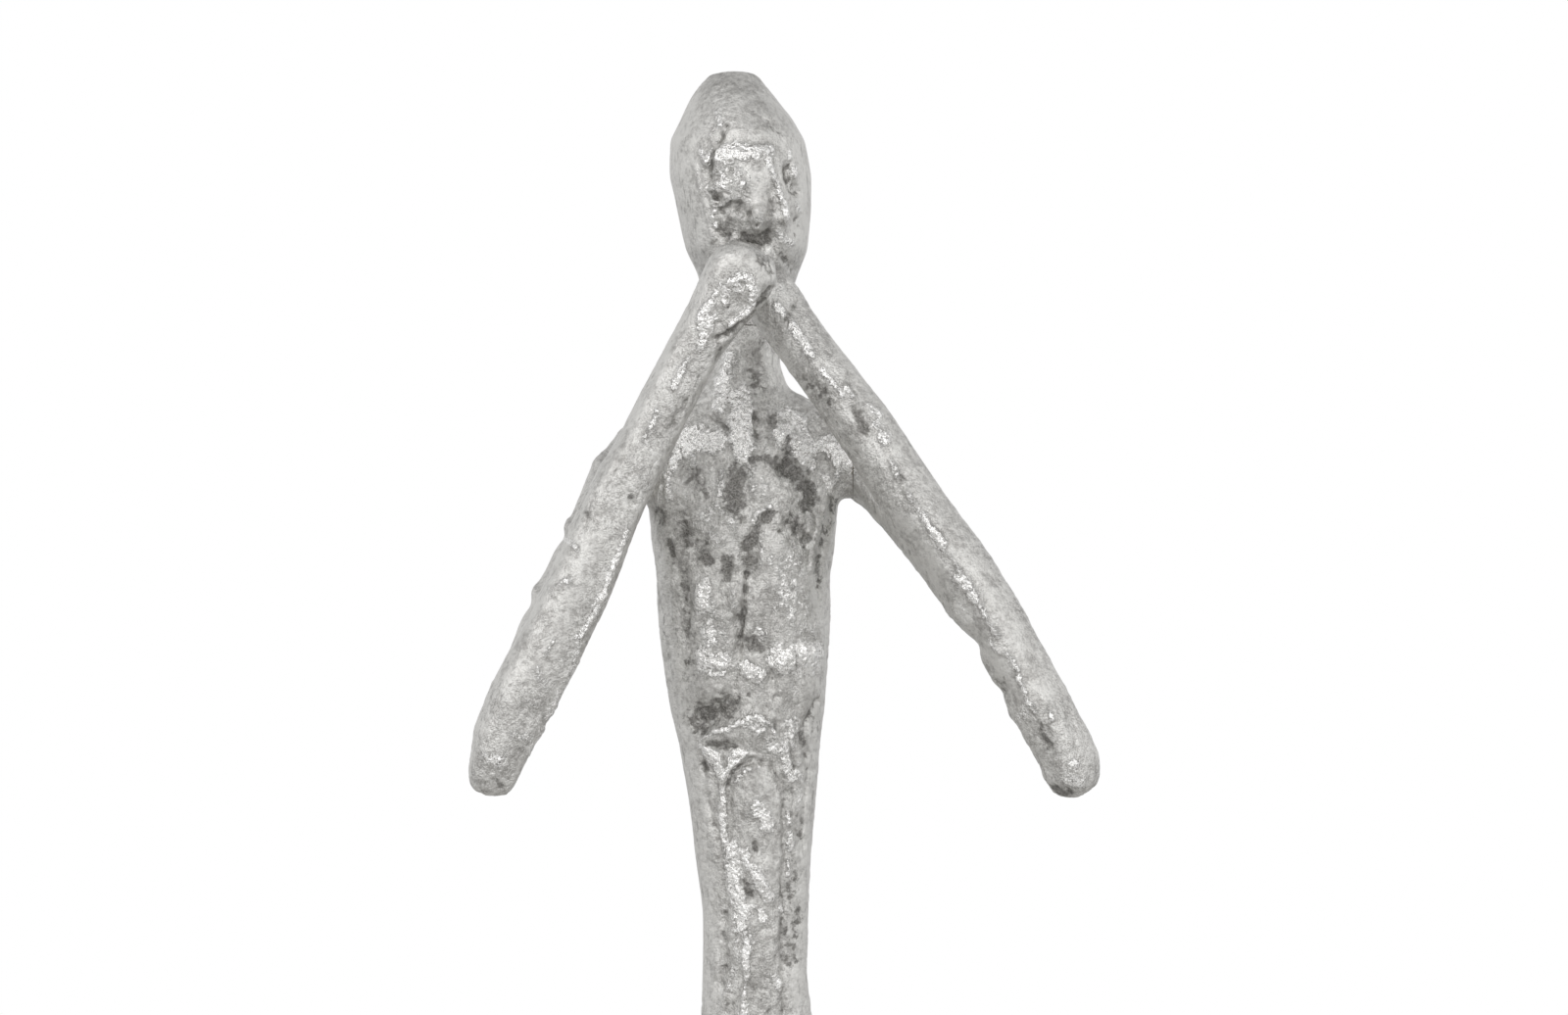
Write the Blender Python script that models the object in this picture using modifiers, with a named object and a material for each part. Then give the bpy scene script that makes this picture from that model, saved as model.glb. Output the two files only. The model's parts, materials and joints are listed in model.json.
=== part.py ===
# Full-body display figure on a steel base plate: thin, long-limbed, both hands held before the chin.
# Metres, +Z up. The figure faces -Y; its own right side is at -X. The origin is the middle of the
# base, on the floor. Five hollow shells (lower body, torso, head, two arms) meet at flat seams and
# are held together by steel plates, pegs and studs. The figure lifts off two posts on the base.
import bpy
import bmesh
import math
from mathutils import Matrix, Vector

# ---- driving dimensions -------------------------------------------------------------------------
GAP = 0.0003                # clearance kept between pieces that touch
WALL = 0.004                # thickness of the cast shells
BOND = 0.001                # adhesive gap around a plate set in a shell's mouth
ROUND = 24                  # sides of small round fittings
OVERRUN = 0.012             # how far a cutter runs past the face it cuts
LAP = 0.0005                # how far two forms that make one solid run into each other

MAT_THICK = 0.0025          # anti-slip rubber mat under the plate
MAT_INSET = 0.002
PLATE_SIZE = 0.400
PLATE_THICK = 0.008
PLATE_CORNER = 0.018
PLATE_EDGE = 0.0015
PLATE_BOTTOM = MAT_THICK + GAP
PLATE_TOP = PLATE_BOTTOM + PLATE_THICK
SOLE_Z = PLATE_TOP + GAP

POST_RADIUS = 0.007         # steel posts that the feet slide onto
POST_HEIGHT = 0.110
SOCKET_RADIUS = 0.010       # tube bonded into each lower leg
SOCKET_LENGTH = 0.190
BASE_SCREW_RADIUS = 0.004
BASE_SCREW_HEAD = 0.0075
BASE_SCREW_LENGTH = 0.022
ANKLE_SCREW_Z = 0.085
ANKLE_SCREW_RADIUS = 0.003
ANKLE_HEAD_RADIUS = 0.007
ANKLE_HEAD_LENGTH = 0.006
ANKLE_SEAT = 0.030          # from the post's axis back to where the screw's head seats

HIP_Z = 0.900               # seam between lower body and torso
HIP_CENTRE = (0.007, 0.000)
HIP_PLATE_THICK = 0.004
HIP_TURN = math.radians(40.0)       # an eighth turn or so frees the bayonet
STUD_RADIUS = 0.007
STUD_BELOW = 0.030          # length of the stud below the seam
BAR_LENGTH = 0.036          # cross bar of the bayonet stud
BAR_WIDTH = 0.009
BAR_HEIGHT = 0.006

NECK_Z = 1.640              # seam between torso and head, behind the hands
NECK_CENTRE = (-0.004, 0.014)
NECK_PLATE_THICK = 0.003
NECK_PIN_RADIUS = 0.008
NECK_PIN_DEPTH = 0.045      # below the seam
NECK_PIN_RISE = 0.012       # above the seam, inside the head
BUSH_RADIUS = 0.013
BUSH_LENGTH = 0.016

SHOULDER_X = 0.105          # seam planes between torso and arms, at +X and -X
SHOULDER_Z = 1.508
STUB_Z = 1.504              # the stub is deeper below its plate than above it
SHOULDER_PLATE_RADIUS = 0.022
SHOULDER_PLATE_THICK = 0.003
PEG_SIDE = 0.011            # square peg that keys the arm
PEG_INNER = 0.045           # length inside the torso
PEG_OUTER = 0.012           # length inside the arm
PEG_RELIEF = 0.012          # room left in the arm past the peg's end

# Level sections, bottom to top: centre x, centre y, height, half width, half depth
TORSO = [
    (0.007, 0.000, HIP_Z + GAP / 2, 0.060, 0.052),
    (0.007, 0.000, 0.943, 0.056, 0.049),
    (0.005, 0.000, 0.983, 0.054, 0.047),
    (0.005, 0.000, 1.043, 0.054, 0.047),
    (0.004, 0.000, 1.083, 0.0575, 0.048),
    (0.004, 0.000, 1.123, 0.061, 0.049),
    (0.002, 0.000, 1.163, 0.0665, 0.050),
    (0.000, 0.000, 1.203, 0.0725, 0.052),
    (-0.002, -0.001, 1.243, 0.0785, 0.054),
    (-0.003, -0.002, 1.283, 0.084, 0.056),
    (-0.005, -0.003, 1.323, 0.087, 0.058),
    (-0.006, -0.004, 1.383, 0.090, 0.060),
    (-0.007, -0.004, 1.423, 0.0955, 0.061),
    (-0.006, -0.002, 1.470, 0.098, 0.060),
    (-0.005, 0.000, 1.505, 0.096, 0.057),
    (-0.005, 0.003, 1.528, 0.090, 0.054),
    (-0.005, 0.006, 1.545, 0.078, 0.051),
    (-0.005, 0.009, 1.560, 0.061, 0.048),
    (-0.004, 0.012, 1.578, 0.046, 0.045),
    (-0.004, 0.014, 1.600, 0.039, 0.042),
    (-0.004, 0.014, NECK_Z - GAP / 2, 0.036, 0.040),
]
HEAD = [
    (-0.004, 0.014, NECK_Z + GAP / 2, 0.036, 0.040),
    (-0.004, 0.014, 1.660, 0.037, 0.041),
    (-0.004, 0.009, 1.671, 0.040, 0.050),
    (-0.003, 0.003, 1.681, 0.046, 0.066),
    (-0.003, 0.001, 1.695, 0.053, 0.076),
    (-0.004, 0.002, 1.715, 0.0605, 0.083),
    (-0.005, 0.004, 1.739, 0.065, 0.088),
    (-0.007, 0.006, 1.763, 0.069, 0.091),
    (-0.009, 0.008, 1.787, 0.072, 0.093),
    (-0.010, 0.009, 1.811, 0.0715, 0.094),
    (-0.0125, 0.010, 1.835, 0.0665, 0.090),
    (-0.014, 0.010, 1.859, 0.053, 0.077),
    (-0.0165, 0.010, 1.883, 0.0355, 0.054),
    (-0.0150, 0.010, 1.894, 0.021, 0.033),
    (-0.0120, 0.010, 1.900, 0.009, 0.014),
]
PELVIS = [
    (0.007, 0.000, 0.838, 0.046, 0.040),
    (0.007, 0.000, 0.852, 0.058, 0.050),
    (0.007, 0.000, 0.872, 0.062, 0.053),
    (0.007, 0.000, HIP_Z - GAP / 2, 0.060, 0.052),
]
# Distance of the leg's centre from the hip centre, centre y, height, half width, half depth
LEG = [
    (0.059, 0.013, SOLE_Z, 0.023, 0.030),
    (0.059, 0.013, 0.050, 0.022, 0.029),
    (0.059, 0.014, 0.100, 0.0215, 0.026),
    (0.059, 0.014, 0.180, 0.024, 0.029),
    (0.057, 0.012, 0.280, 0.028, 0.035),
    (0.053, 0.008, 0.380, 0.030, 0.038),
    (0.050, 0.002, 0.460, 0.0285, 0.036),
    (0.049, 0.001, 0.500, 0.028, 0.036),
    (0.045, 0.002, 0.600, 0.0305, 0.040),
    (0.039, 0.002, 0.720, 0.033, 0.045),
    (0.034, 0.001, 0.820, 0.034, 0.048),
    (0.031, 0.000, 0.866, 0.031, 0.046),
]
LEG_HOLLOW_FROM = 0.235     # the leg is solid around its socket below this height
STRIDE = 0.028              # the figure's left foot stands this far ahead of the right
# Distance forward of the ankle, height of the section's centre, half width, half height
FOOT = [
    (-0.040, 0.026, 0.014, 0.014),
    (-0.030, 0.028, 0.021, 0.022),
    (0.000, 0.030, 0.026, 0.030),
    (0.035, 0.026, 0.030, 0.026),
    (0.080, 0.020, 0.035, 0.019),
    (0.125, 0.016, 0.036, 0.014),
    (0.155, 0.015, 0.028, 0.010),
    (0.168, 0.015, 0.016, 0.006),
]
# Arm sections along the limb: centre x, y, z, half width seen from the front, half depth
RIGHT_UPPER_ARM = [
    (-0.080, 0.000, 1.505, 0.038, 0.036),
    (-0.116, -0.001, 1.507, 0.037, 0.036),
    (-0.136, -0.018, 1.486, 0.034, 0.034),
    (-0.150, -0.055, 1.440, 0.031, 0.032),
    (-0.173, -0.095, 1.385, 0.030, 0.031),
    (-0.200, -0.132, 1.325, 0.029, 0.030),
    (-0.227, -0.165, 1.255, 0.028, 0.029),
    (-0.243, -0.182, 1.208, 0.025, 0.026),
]
RIGHT_FOREARM = [
    (-0.247, -0.188, 1.200, 0.027, 0.028),
    (-0.239, -0.187, 1.230, 0.031, 0.030),
    (-0.219, -0.182, 1.270, 0.033, 0.031),
    (-0.192, -0.176, 1.319, 0.034, 0.031),
    (-0.161, -0.168, 1.386, 0.032, 0.030),
    (-0.129, -0.160, 1.463, 0.030, 0.029),
    (-0.093, -0.153, 1.535, 0.0285, 0.028),
    (-0.051, -0.150, 1.616, 0.0275, 0.027),
    (-0.029, -0.153, 1.650, 0.031, 0.028),
    (-0.009, -0.158, 1.676, 0.036, 0.029),
]
LEFT_UPPER_ARM = [
    (0.080, 0.000, 1.505, 0.038, 0.036),
    (0.118, -0.001, 1.500, 0.038, 0.036),
    (0.137, -0.016, 1.480, 0.034, 0.034),
    (0.164, -0.045, 1.443, 0.031, 0.032),
    (0.195, -0.078, 1.404, 0.030, 0.031),
    (0.222, -0.105, 1.366, 0.030, 0.030),
    (0.252, -0.127, 1.325, 0.026, 0.029),
    (0.280, -0.144, 1.270, 0.026, 0.028),
    (0.309, -0.156, 1.210, 0.024, 0.026),
]
LEFT_FOREARM = [
    (0.318, -0.160, 1.198, 0.0265, 0.027),
    (0.311, -0.160, 1.216, 0.0275, 0.028),
    (0.291, -0.157, 1.252, 0.0285, 0.030),
    (0.270, -0.153, 1.290, 0.0305, 0.031),
    (0.240, -0.148, 1.347, 0.031, 0.031),
    (0.203, -0.140, 1.405, 0.031, 0.031),
    (0.161, -0.132, 1.463, 0.030, 0.030),
    (0.123, -0.124, 1.521, 0.0295, 0.029),
    (0.082, -0.116, 1.581, 0.0285, 0.028),
    (0.054, -0.110, 1.621, 0.0285, 0.027),
    (0.028, -0.107, 1.658, 0.031, 0.026),
]
ELBOW_LENGTH = 0.026        # the blunt end past the last elbow section
HAND_LENGTH = 0.033         # the rounded end past the last hand section
ARM_WALL = 0.005
HAND_SOLID = 3              # the last forearm sections, wrist to fist, are solid
WRIST_END = 0.010           # rounded end of the forearm's hollow at the wrist

PELVIS_SIDES = 28           # facets around each form; plates set in a form's mouth match it
LEG_SIDES = 18
FOOT_SIDES = 16
HEAD_SIDES = 24
STUB_SIDES = 20
LIMB_SIDES = 16
SMOOTH_ANGLE = math.radians(40.0)

# ---- helpers ------------------------------------------------------------------------------------


def clear_scene():
    for item in list(bpy.data.objects):
        bpy.data.objects.remove(item, do_unlink=True)


def make_collection(name):
    collection = bpy.data.collections.new(name)
    bpy.context.scene.collection.children.link(collection)
    return collection


def make_material(name, colour, roughness, metallic):
    material = bpy.data.materials.new(name)
    material.use_nodes = True
    shader = material.node_tree.nodes["Principled BSDF"]
    shader.inputs["Base Color"].default_value = (*colour, 1.0)
    shader.inputs["Roughness"].default_value = roughness
    shader.inputs["Metallic"].default_value = metallic
    return material


def place(name, mesh, material):
    # A part with a material, or a hidden cutter without one
    item = bpy.data.objects.new(name, mesh)
    if material is None:
        cutters.objects.link(item)
        item.hide_render = True
        item.display_type = 'WIRE'
    else:
        figure.objects.link(item)
        mesh.materials.append(material)
    return item


def mesh_from(bm, name, smooth=True):
    bmesh.ops.recalc_face_normals(bm, faces=bm.faces)
    mesh = bpy.data.meshes.new(name)
    bm.to_mesh(mesh)
    bm.free()
    if smooth:
        mesh.shade_smooth()
        mesh.set_sharp_from_angle(angle=SMOOTH_ANGLE)
    return mesh


def cylinder(name, radius, start, end, material=None, end_radius=None, sides=ROUND):
    start = Vector(start)
    end = Vector(end)
    axis = end - start
    bm = bmesh.new()
    far = radius if end_radius is None else end_radius
    bmesh.ops.create_cone(bm, cap_ends=True, segments=sides, radius1=radius, radius2=far,
                          depth=axis.length)
    item = place(name, mesh_from(bm, name), material)
    item.location = (start + end) / 2
    item.rotation_mode = 'QUATERNION'
    item.rotation_quaternion = axis.to_track_quat('Z', 'Y')
    return item


def block(name, size, centre, material=None, turn=0.0):
    bm = bmesh.new()
    bmesh.ops.create_cube(bm, size=1.0, matrix=Matrix.Diagonal((*size, 1.0)))
    item = place(name, mesh_from(bm, name, smooth=False), material)
    item.location = centre
    item.rotation_euler[2] = turn
    return item


def cut(target, tool, operation='DIFFERENCE'):
    modifier = target.modifiers.new(tool.name, 'BOOLEAN')
    modifier.object = tool
    modifier.operation = operation
    modifier.solver = 'EXACT'


def level_rings(sections, thinner=0.0):
    # Rings that lie level, such as those of a torso
    rings = []
    for x, y, z, half_width, half_depth in sections:
        scale = Matrix.Diagonal((half_width - thinner, half_depth - thinner, 1.0, 1.0))
        rings.append(Matrix.Translation((x, y, z)) @ scale)
    return rings


def moved_up(section, rise):
    x, y, z, half_width, half_depth = section
    return (x, y, z + rise, half_width, half_depth)


def limb_rings(sections, thinner=0.0):
    # Rings square to the path through the sections' centres
    centres = [Vector(section[:3]) for section in sections]
    rings = []
    for index, (half_width, half_depth) in enumerate(section[3:] for section in sections):
        before = centres[max(index - 1, 0)]
        after = centres[min(index + 1, len(centres) - 1)]
        along = (after - before).normalized()
        across = Vector((0.0, 1.0, 0.0)).cross(along).normalized()
        turned = Matrix((across, along.cross(across), along)).transposed().to_4x4()
        scale = Matrix.Diagonal((half_width - thinner, half_depth - thinner, 1.0, 1.0))
        rings.append(Matrix.Translation(centres[index]) @ turned @ scale)
    return rings


def rounded(ring, length, forward):
    # Rings that close a limb in a quarter ellipse of this length, past its last ring
    direction = ring.to_3x3().col[2].normalized() * (1.0 if forward else -1.0)
    rings = []
    for degrees in (30.0, 55.0, 75.0):
        angle = math.radians(degrees)
        shift = Matrix.Translation(direction * length * math.sin(angle))
        scale = Matrix.Diagonal((math.cos(angle), math.cos(angle), 1.0, 1.0))
        rings.append(shift @ ring @ scale)
    return rings


def loft(name, rings, sides, material=None):
    # A closed solid through rings, each given by the matrix that turns a unit circle into it
    bm = bmesh.new()
    loops = []
    for matrix in rings:
        made = bmesh.ops.create_circle(bm, segments=sides, radius=1.0, matrix=matrix)
        corners = set(made["verts"])
        loops.append([edge for edge in bm.edges if edge.verts[0] in corners])
    for lower, upper in zip(loops, loops[1:]):
        bmesh.ops.bridge_loops(bm, edges=lower + upper)
    bmesh.ops.holes_fill(bm, edges=loops[0] + loops[-1], sides=sides)
    return place(name, mesh_from(bm, name), material)


def axis_empty(name, location, parent=None):
    empty = bpy.data.objects.new(name, None)
    figure.objects.link(empty)
    empty.location = location
    bpy.context.view_layer.update()
    if parent is not None:
        carry(parent, empty)
    return empty


def carry(empty, *items):
    # Parent to a joint's empty without moving anything
    bpy.context.view_layer.update()
    for item in items:
        item.parent = empty
        item.matrix_parent_inverse = empty.matrix_world.inverted()


# ---- base ---------------------------------------------------------------------------------------


def rounded_slab(name, side, thick, bottom, edge, material):
    # A square slab with rounded corners and, where edge isn't 0, a softened top edge
    bm = bmesh.new()
    bmesh.ops.create_cube(bm, size=1.0, matrix=Matrix.Diagonal((side, side, thick, 1.0)))
    upright = [rib for rib in bm.edges if abs(rib.verts[0].co.z - rib.verts[1].co.z) > thick / 2]
    bmesh.ops.bevel(bm, geom=upright, offset=PLATE_CORNER, segments=6, profile=0.5, affect='EDGES')
    if edge:
        top = [rib for rib in bm.edges if min(vert.co.z for vert in rib.verts) > thick / 4]
        bmesh.ops.bevel(bm, geom=top, offset=edge, segments=2, profile=0.5, affect='EDGES')
    slab = place(name, mesh_from(bm, name), material)
    slab.location = (0.0, 0.0, bottom + thick / 2)
    return slab


def build_base():
    rounded_slab("base_mat", PLATE_SIZE - 2 * MAT_INSET, MAT_THICK, 0.0, 0.0, rubber)
    plate = rounded_slab("base_plate", PLATE_SIZE, PLATE_THICK, PLATE_BOTTOM, PLATE_EDGE, steel)
    for side, (x, y) in FOOT_AXES.items():
        base = PLATE_TOP + GAP
        post = cylinder(f"{side}_foot_post", POST_RADIUS, (x, y, base), (x, y, base + POST_HEIGHT), steel)
        bore_top = PLATE_BOTTOM + BASE_SCREW_LENGTH + 2 * GAP
        cut(post, cylinder(f"{side}_post_bore", BASE_SCREW_RADIUS + GAP, (x, y, 0.0), (x, y, bore_top)))
        base_screw(f"{side}_post_screw", x, y, 0.0, fixings)
        cut(plate, base_screw(f"{side}_screw_hole", x, y, 2 * GAP, None))


def base_screw(name, x, y, larger, material):
    # Countersunk screw up through the plate, or its hole when it is made larger
    head_depth = BASE_SCREW_HEAD - BASE_SCREW_RADIUS
    outline = [
        (0.0, BASE_SCREW_LENGTH + larger),
        (BASE_SCREW_RADIUS + larger, BASE_SCREW_LENGTH + larger),
        (BASE_SCREW_RADIUS + larger, head_depth + larger),
        (BASE_SCREW_HEAD + larger, larger),
        (BASE_SCREW_HEAD + larger, -larger),
        (0.0, -larger),
    ]
    screw = turned(name, outline, material)
    screw.location = (x, y, PLATE_BOTTOM + GAP)
    return screw


def turned(name, outline, material):
    # A solid of revolution about Z; the outline's points are (radius, height), top to bottom
    mesh = bpy.data.meshes.new(name)
    bm = bmesh.new()
    corners = [bm.verts.new((radius, 0.0, height)) for radius, height in outline]
    for upper, lower in zip(corners, corners[1:]):
        bm.edges.new((upper, lower))
    bm.to_mesh(mesh)
    bm.free()
    item = place(name, mesh, material)
    screw = item.modifiers.new("turned", 'SCREW')
    screw.axis = 'Z'
    screw.steps = ROUND
    screw.render_steps = ROUND
    screw.use_merge_vertices = True
    screw.merge_threshold = 0.00001
    return item


# ---- lower body ---------------------------------------------------------------------------------


def leg_sections(side):
    # The right leg stands at -X of the hip centre; the left is mirrored and steps forward
    sign = -1.0 if side == "right" else 1.0
    sections = []
    for offset, y, z, half_width, half_depth in LEG:
        step = STRIDE * min(1.0, (LEG[-1][2] - z) / (LEG[-1][2] - LEG_HOLLOW_FROM))
        forward = step if side == "left" else 0.0
        sections.append((HIP_CENTRE[0] + sign * offset, y - forward, z, half_width, half_depth))
    return sections


def foot_rings(axis):
    # Upright rings from heel to toe
    facing = Matrix.Rotation(math.radians(90.0), 4, 'X')
    rings = []
    for forward, height, half_width, half_height in FOOT:
        scale = Matrix.Diagonal((half_width, half_height, 1.0, 1.0))
        rings.append(Matrix.Translation((axis[0], axis[1] - forward, height)) @ facing @ scale)
    return rings


def build_lower_body():
    shell = loft("lower_body_shell", level_rings(PELVIS), PELVIS_SIDES, leaf)
    for side, axis in FOOT_AXES.items():
        cut(shell, loft(f"{side}_leg_form", level_rings(leg_sections(side)), LEG_SIDES), 'UNION')
        cut(shell, loft(f"{side}_foot_form", foot_rings(axis), FOOT_SIDES), 'UNION')
    cut(shell, block("under_the_soles", (0.6, 0.6, 0.1), (0.0, 0.0, SOLE_Z - 0.05)))

    hollow = [*PELVIS[1:], moved_up(PELVIS[-1], OVERRUN)]
    cut(shell, loft("pelvis_hollow", level_rings(hollow, WALL), PELVIS_SIDES))
    for side, axis in FOOT_AXES.items():
        x, y = axis
        inner = [section for section in leg_sections(side) if section[2] > LEG_HOLLOW_FROM]
        inner.append(moved_up(inner[-1], OVERRUN))
        cut(shell, loft(f"{side}_leg_hollow", level_rings(inner, ARM_WALL), LEG_SIDES))
        bore_top = inner[0][2] + 0.01
        cut(shell, cylinder(f"{side}_socket_bore", SOCKET_RADIUS + GAP, (x, y, -OVERRUN), (x, y, bore_top)))
        bottom = SOLE_Z + GAP
        socket = cylinder(f"{side}_foot_socket", SOCKET_RADIUS, (x, y, bottom),
                          (x, y, bottom + SOCKET_LENGTH), steel)
        cut(socket, cylinder(f"{side}_socket_inside", POST_RADIUS + GAP, (x, y, 0.0),
                             (x, y, bottom + SOCKET_LENGTH + OVERRUN)))
        build_ankle_screw(side, axis, shell, socket)

    stud_top = HIP_Z + GAP / 2 + HIP_PLATE_THICK + GAP
    x, y = HIP_CENTRE
    bar_centre = (x, y, stud_top + BAR_HEIGHT / 2)
    stud = cylinder("hip_stud", STUD_RADIUS, (x, y, HIP_Z - STUD_BELOW), bar_centre, steel)
    bar = block("stud_bar_form", (BAR_LENGTH, BAR_WIDTH, BAR_HEIGHT), bar_centre)
    cut(stud, bar, 'UNION')
    low = HIP_Z - GAP / 2 - HIP_PLATE_THICK
    plate = oval_plate("hip_lower_plate", PELVIS[-1], low, HIP_PLATE_THICK)
    cut(plate, cylinder("stud_hole", STUD_RADIUS + GAP, (x, y, low - OVERRUN), (x, y, low + OVERRUN)))


def build_ankle_screw(side, axis, shell, socket):
    # Thumb screw from behind that clamps the post through the socket's wall
    x, y = axis
    tip = y + POST_RADIUS + GAP
    seat = y + ANKLE_SEAT
    start = (x, tip, ANKLE_SCREW_Z)
    shank = cylinder(f"{side}_ankle_screw", ANKLE_SCREW_RADIUS, start, (x, seat, ANKLE_SCREW_Z), fixings)
    knob = cylinder(f"{side}_knob_form", ANKLE_HEAD_RADIUS, (x, seat - LAP, ANKLE_SCREW_Z),
                    (x, seat + ANKLE_HEAD_LENGTH, ANKLE_SCREW_Z))
    cut(shank, knob, 'UNION')
    inside = (x, y, ANKLE_SCREW_Z)
    hole = cylinder(f"{side}_screw_way", ANKLE_SCREW_RADIUS + GAP, inside, (x, y + 0.06, ANKLE_SCREW_Z))
    cut(shell, hole)
    cut(socket, hole)
    seat_cut = cylinder(f"{side}_knob_way", ANKLE_HEAD_RADIUS + GAP, (x, seat - LAP - GAP, ANKLE_SCREW_Z),
                        (x, seat + OVERRUN, ANKLE_SCREW_Z))
    cut(shell, seat_cut)


def oval_plate(name, section, bottom, thick):
    # A steel plate bonded inside the mouth of a shell with this outer section
    x, y, _, half_width, half_depth = section
    inner = WALL + BOND
    ends = [(x, y, height, half_width, half_depth) for height in (bottom, bottom + thick)]
    return loft(name, level_rings(ends, inner), PELVIS_SIDES, steel)


# ---- torso --------------------------------------------------------------------------------------


def build_torso():
    shell = loft("torso_shell", level_rings(TORSO), PELVIS_SIDES, leaf)
    inner = [moved_up(TORSO[0], -OVERRUN), *TORSO, moved_up(TORSO[-1], OVERRUN)]
    for side, sign in SIDES.items():
        cut(shell, shoulder_form(side, sign), 'UNION')
    cut(shell, loft("torso_hollow", level_rings(inner, WALL), PELVIS_SIDES))
    for side, sign in SIDES.items():
        face = sign * (SHOULDER_X - GAP / 2)
        back = face - sign * SHOULDER_PLATE_THICK
        recess_back = back - sign * GAP
        recess = cylinder(f"{side}_plate_recess", SHOULDER_PLATE_RADIUS + GAP,
                          (recess_back, 0.0, SHOULDER_Z), (face + sign * OVERRUN, 0.0, SHOULDER_Z))
        cut(shell, recess)
        way = cylinder(f"{side}_peg_way", PEG_SIDE, (sign * 0.05, 0.0, SHOULDER_Z),
                       (face + sign * OVERRUN, 0.0, SHOULDER_Z))
        cut(shell, way)
        keyed_plate(f"{side}_shoulder_plate", face, back)

    bottom = HIP_Z + GAP / 2
    plate = oval_plate("hip_upper_plate", TORSO[0], bottom, HIP_PLATE_THICK)
    x, y = HIP_CENTRE
    cut(plate, cylinder("stud_way", STUD_RADIUS + GAP, (x, y, bottom - OVERRUN), (x, y, bottom + OVERRUN)))
    slot = (BAR_LENGTH + 4 * GAP, BAR_WIDTH + 4 * GAP, 2 * OVERRUN)
    cut(plate, block("bar_slot", slot, (x, y, bottom), turn=-HIP_TURN))

    x, y = NECK_CENTRE
    low = NECK_Z - GAP / 2 - NECK_PLATE_THICK
    plate = oval_plate("neck_lower_plate", TORSO[-1], low, NECK_PLATE_THICK)
    cut(plate, cylinder("pin_way", NECK_PIN_RADIUS + GAP, (x, y, low - OVERRUN), (x, y, low + OVERRUN)))
    bush_top = low - GAP
    bush = cylinder("neck_bush", BUSH_RADIUS, (x, y, bush_top - BUSH_LENGTH), (x, y, bush_top), nylon)
    bore = ((x, y, bush_top - BUSH_LENGTH - OVERRUN), (x, y, bush_top + OVERRUN))
    cut(bush, cylinder("bush_bore", NECK_PIN_RADIUS + GAP, *bore))


def shoulder_form(side, sign):
    # The short flat-ended stub that an arm butts against
    stub = [
        (sign * 0.050, 0.0, STUB_Z, 0.030, 0.030),
        (sign * 0.085, 0.0, STUB_Z, 0.039, 0.037),
        (sign * (SHOULDER_X - GAP / 2), 0.0, STUB_Z, 0.038, 0.036),
    ]
    return loft(f"{side}_shoulder_form", limb_rings(stub), STUB_SIDES)


def keyed_plate(name, face, back):
    plate = cylinder(name, SHOULDER_PLATE_RADIUS, (back, 0.0, SHOULDER_Z), (face, 0.0, SHOULDER_Z), steel)
    hole = PEG_SIDE + 2 * GAP
    cut(plate, block(f"{name}_key", (2 * OVERRUN, hole, hole), ((face + back) / 2, 0.0, SHOULDER_Z)))
    return plate


# ---- head ---------------------------------------------------------------------------------------


def build_head():
    shell = loft("head_shell", level_rings(HEAD), HEAD_SIDES, leaf)
    inner = [moved_up(HEAD[0], -OVERRUN), *HEAD[:-1]]
    cut(shell, loft("head_hollow", level_rings(inner, WALL), HEAD_SIDES))
    x, y = NECK_CENTRE
    low = NECK_Z + GAP / 2
    plate = oval_plate("head_plate", HEAD[0], low, NECK_PLATE_THICK)
    cut(plate, cylinder("pin_hole", NECK_PIN_RADIUS + GAP, (x, y, low - OVERRUN), (x, y, low + OVERRUN)))
    cylinder("neck_pin", NECK_PIN_RADIUS, (x, y, NECK_Z - NECK_PIN_DEPTH),
             (x, y, NECK_Z + NECK_PIN_RISE), steel)


# ---- arms ---------------------------------------------------------------------------------------


def limb(name, sections, start_length, end_length, material=None, thinner=0.0, sides=LIMB_SIDES):
    # A closed limb, rounded past each end by its length, or cut square where that is 0
    rings = limb_rings(sections, thinner)
    if start_length:
        rings = rounded(rings[0], start_length, forward=False)[::-1] + rings
    if end_length:
        rings = rings + rounded(rings[-1], end_length, forward=True)
    return loft(name, rings, sides, material)


def build_arm(side, sign, upper, forearm):
    shell = limb(f"{side}_arm_shell", forearm, ELBOW_LENGTH, HAND_LENGTH, leaf)
    cut(shell, limb(f"{side}_upper_arm_form", upper, 0.0, ELBOW_LENGTH), 'UNION')
    face = sign * (SHOULDER_X + GAP / 2)
    inside = (0.2, 0.2, 0.2)
    cut(shell, block(f"{side}_shoulder_cut", inside, (face - sign * 0.1, 0.0, SHOULDER_Z)))

    hollow_upper = upper[2:]
    hollow_fore = forearm[:-HAND_SOLID]
    cut(shell, limb(f"{side}_upper_hollow", hollow_upper, ELBOW_LENGTH, ELBOW_LENGTH - ARM_WALL,
                    thinner=ARM_WALL))
    cut(shell, limb(f"{side}_forearm_hollow", hollow_fore, ELBOW_LENGTH - ARM_WALL, WRIST_END,
                    thinner=ARM_WALL))

    back = face + sign * SHOULDER_PLATE_THICK
    recess = cylinder(f"{side}_arm_recess", SHOULDER_PLATE_RADIUS + GAP,
                      (face - sign * OVERRUN, 0.0, SHOULDER_Z), (back + sign * GAP, 0.0, SHOULDER_Z))
    cut(shell, recess)
    peg_end = back + sign * PEG_OUTER
    socket = cylinder(f"{side}_peg_socket", PEG_SIDE, (face, 0.0, SHOULDER_Z),
                      (peg_end + sign * PEG_RELIEF, 0.0, SHOULDER_Z))
    cut(shell, socket)
    keyed_plate(f"{side}_arm_plate", face, back)
    peg_start = face - sign * PEG_INNER
    size = (abs(peg_end - peg_start), PEG_SIDE, PEG_SIDE)
    block(f"{side}_arm_peg", size, ((peg_start + peg_end) / 2, 0.0, SHOULDER_Z), steel)


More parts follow.
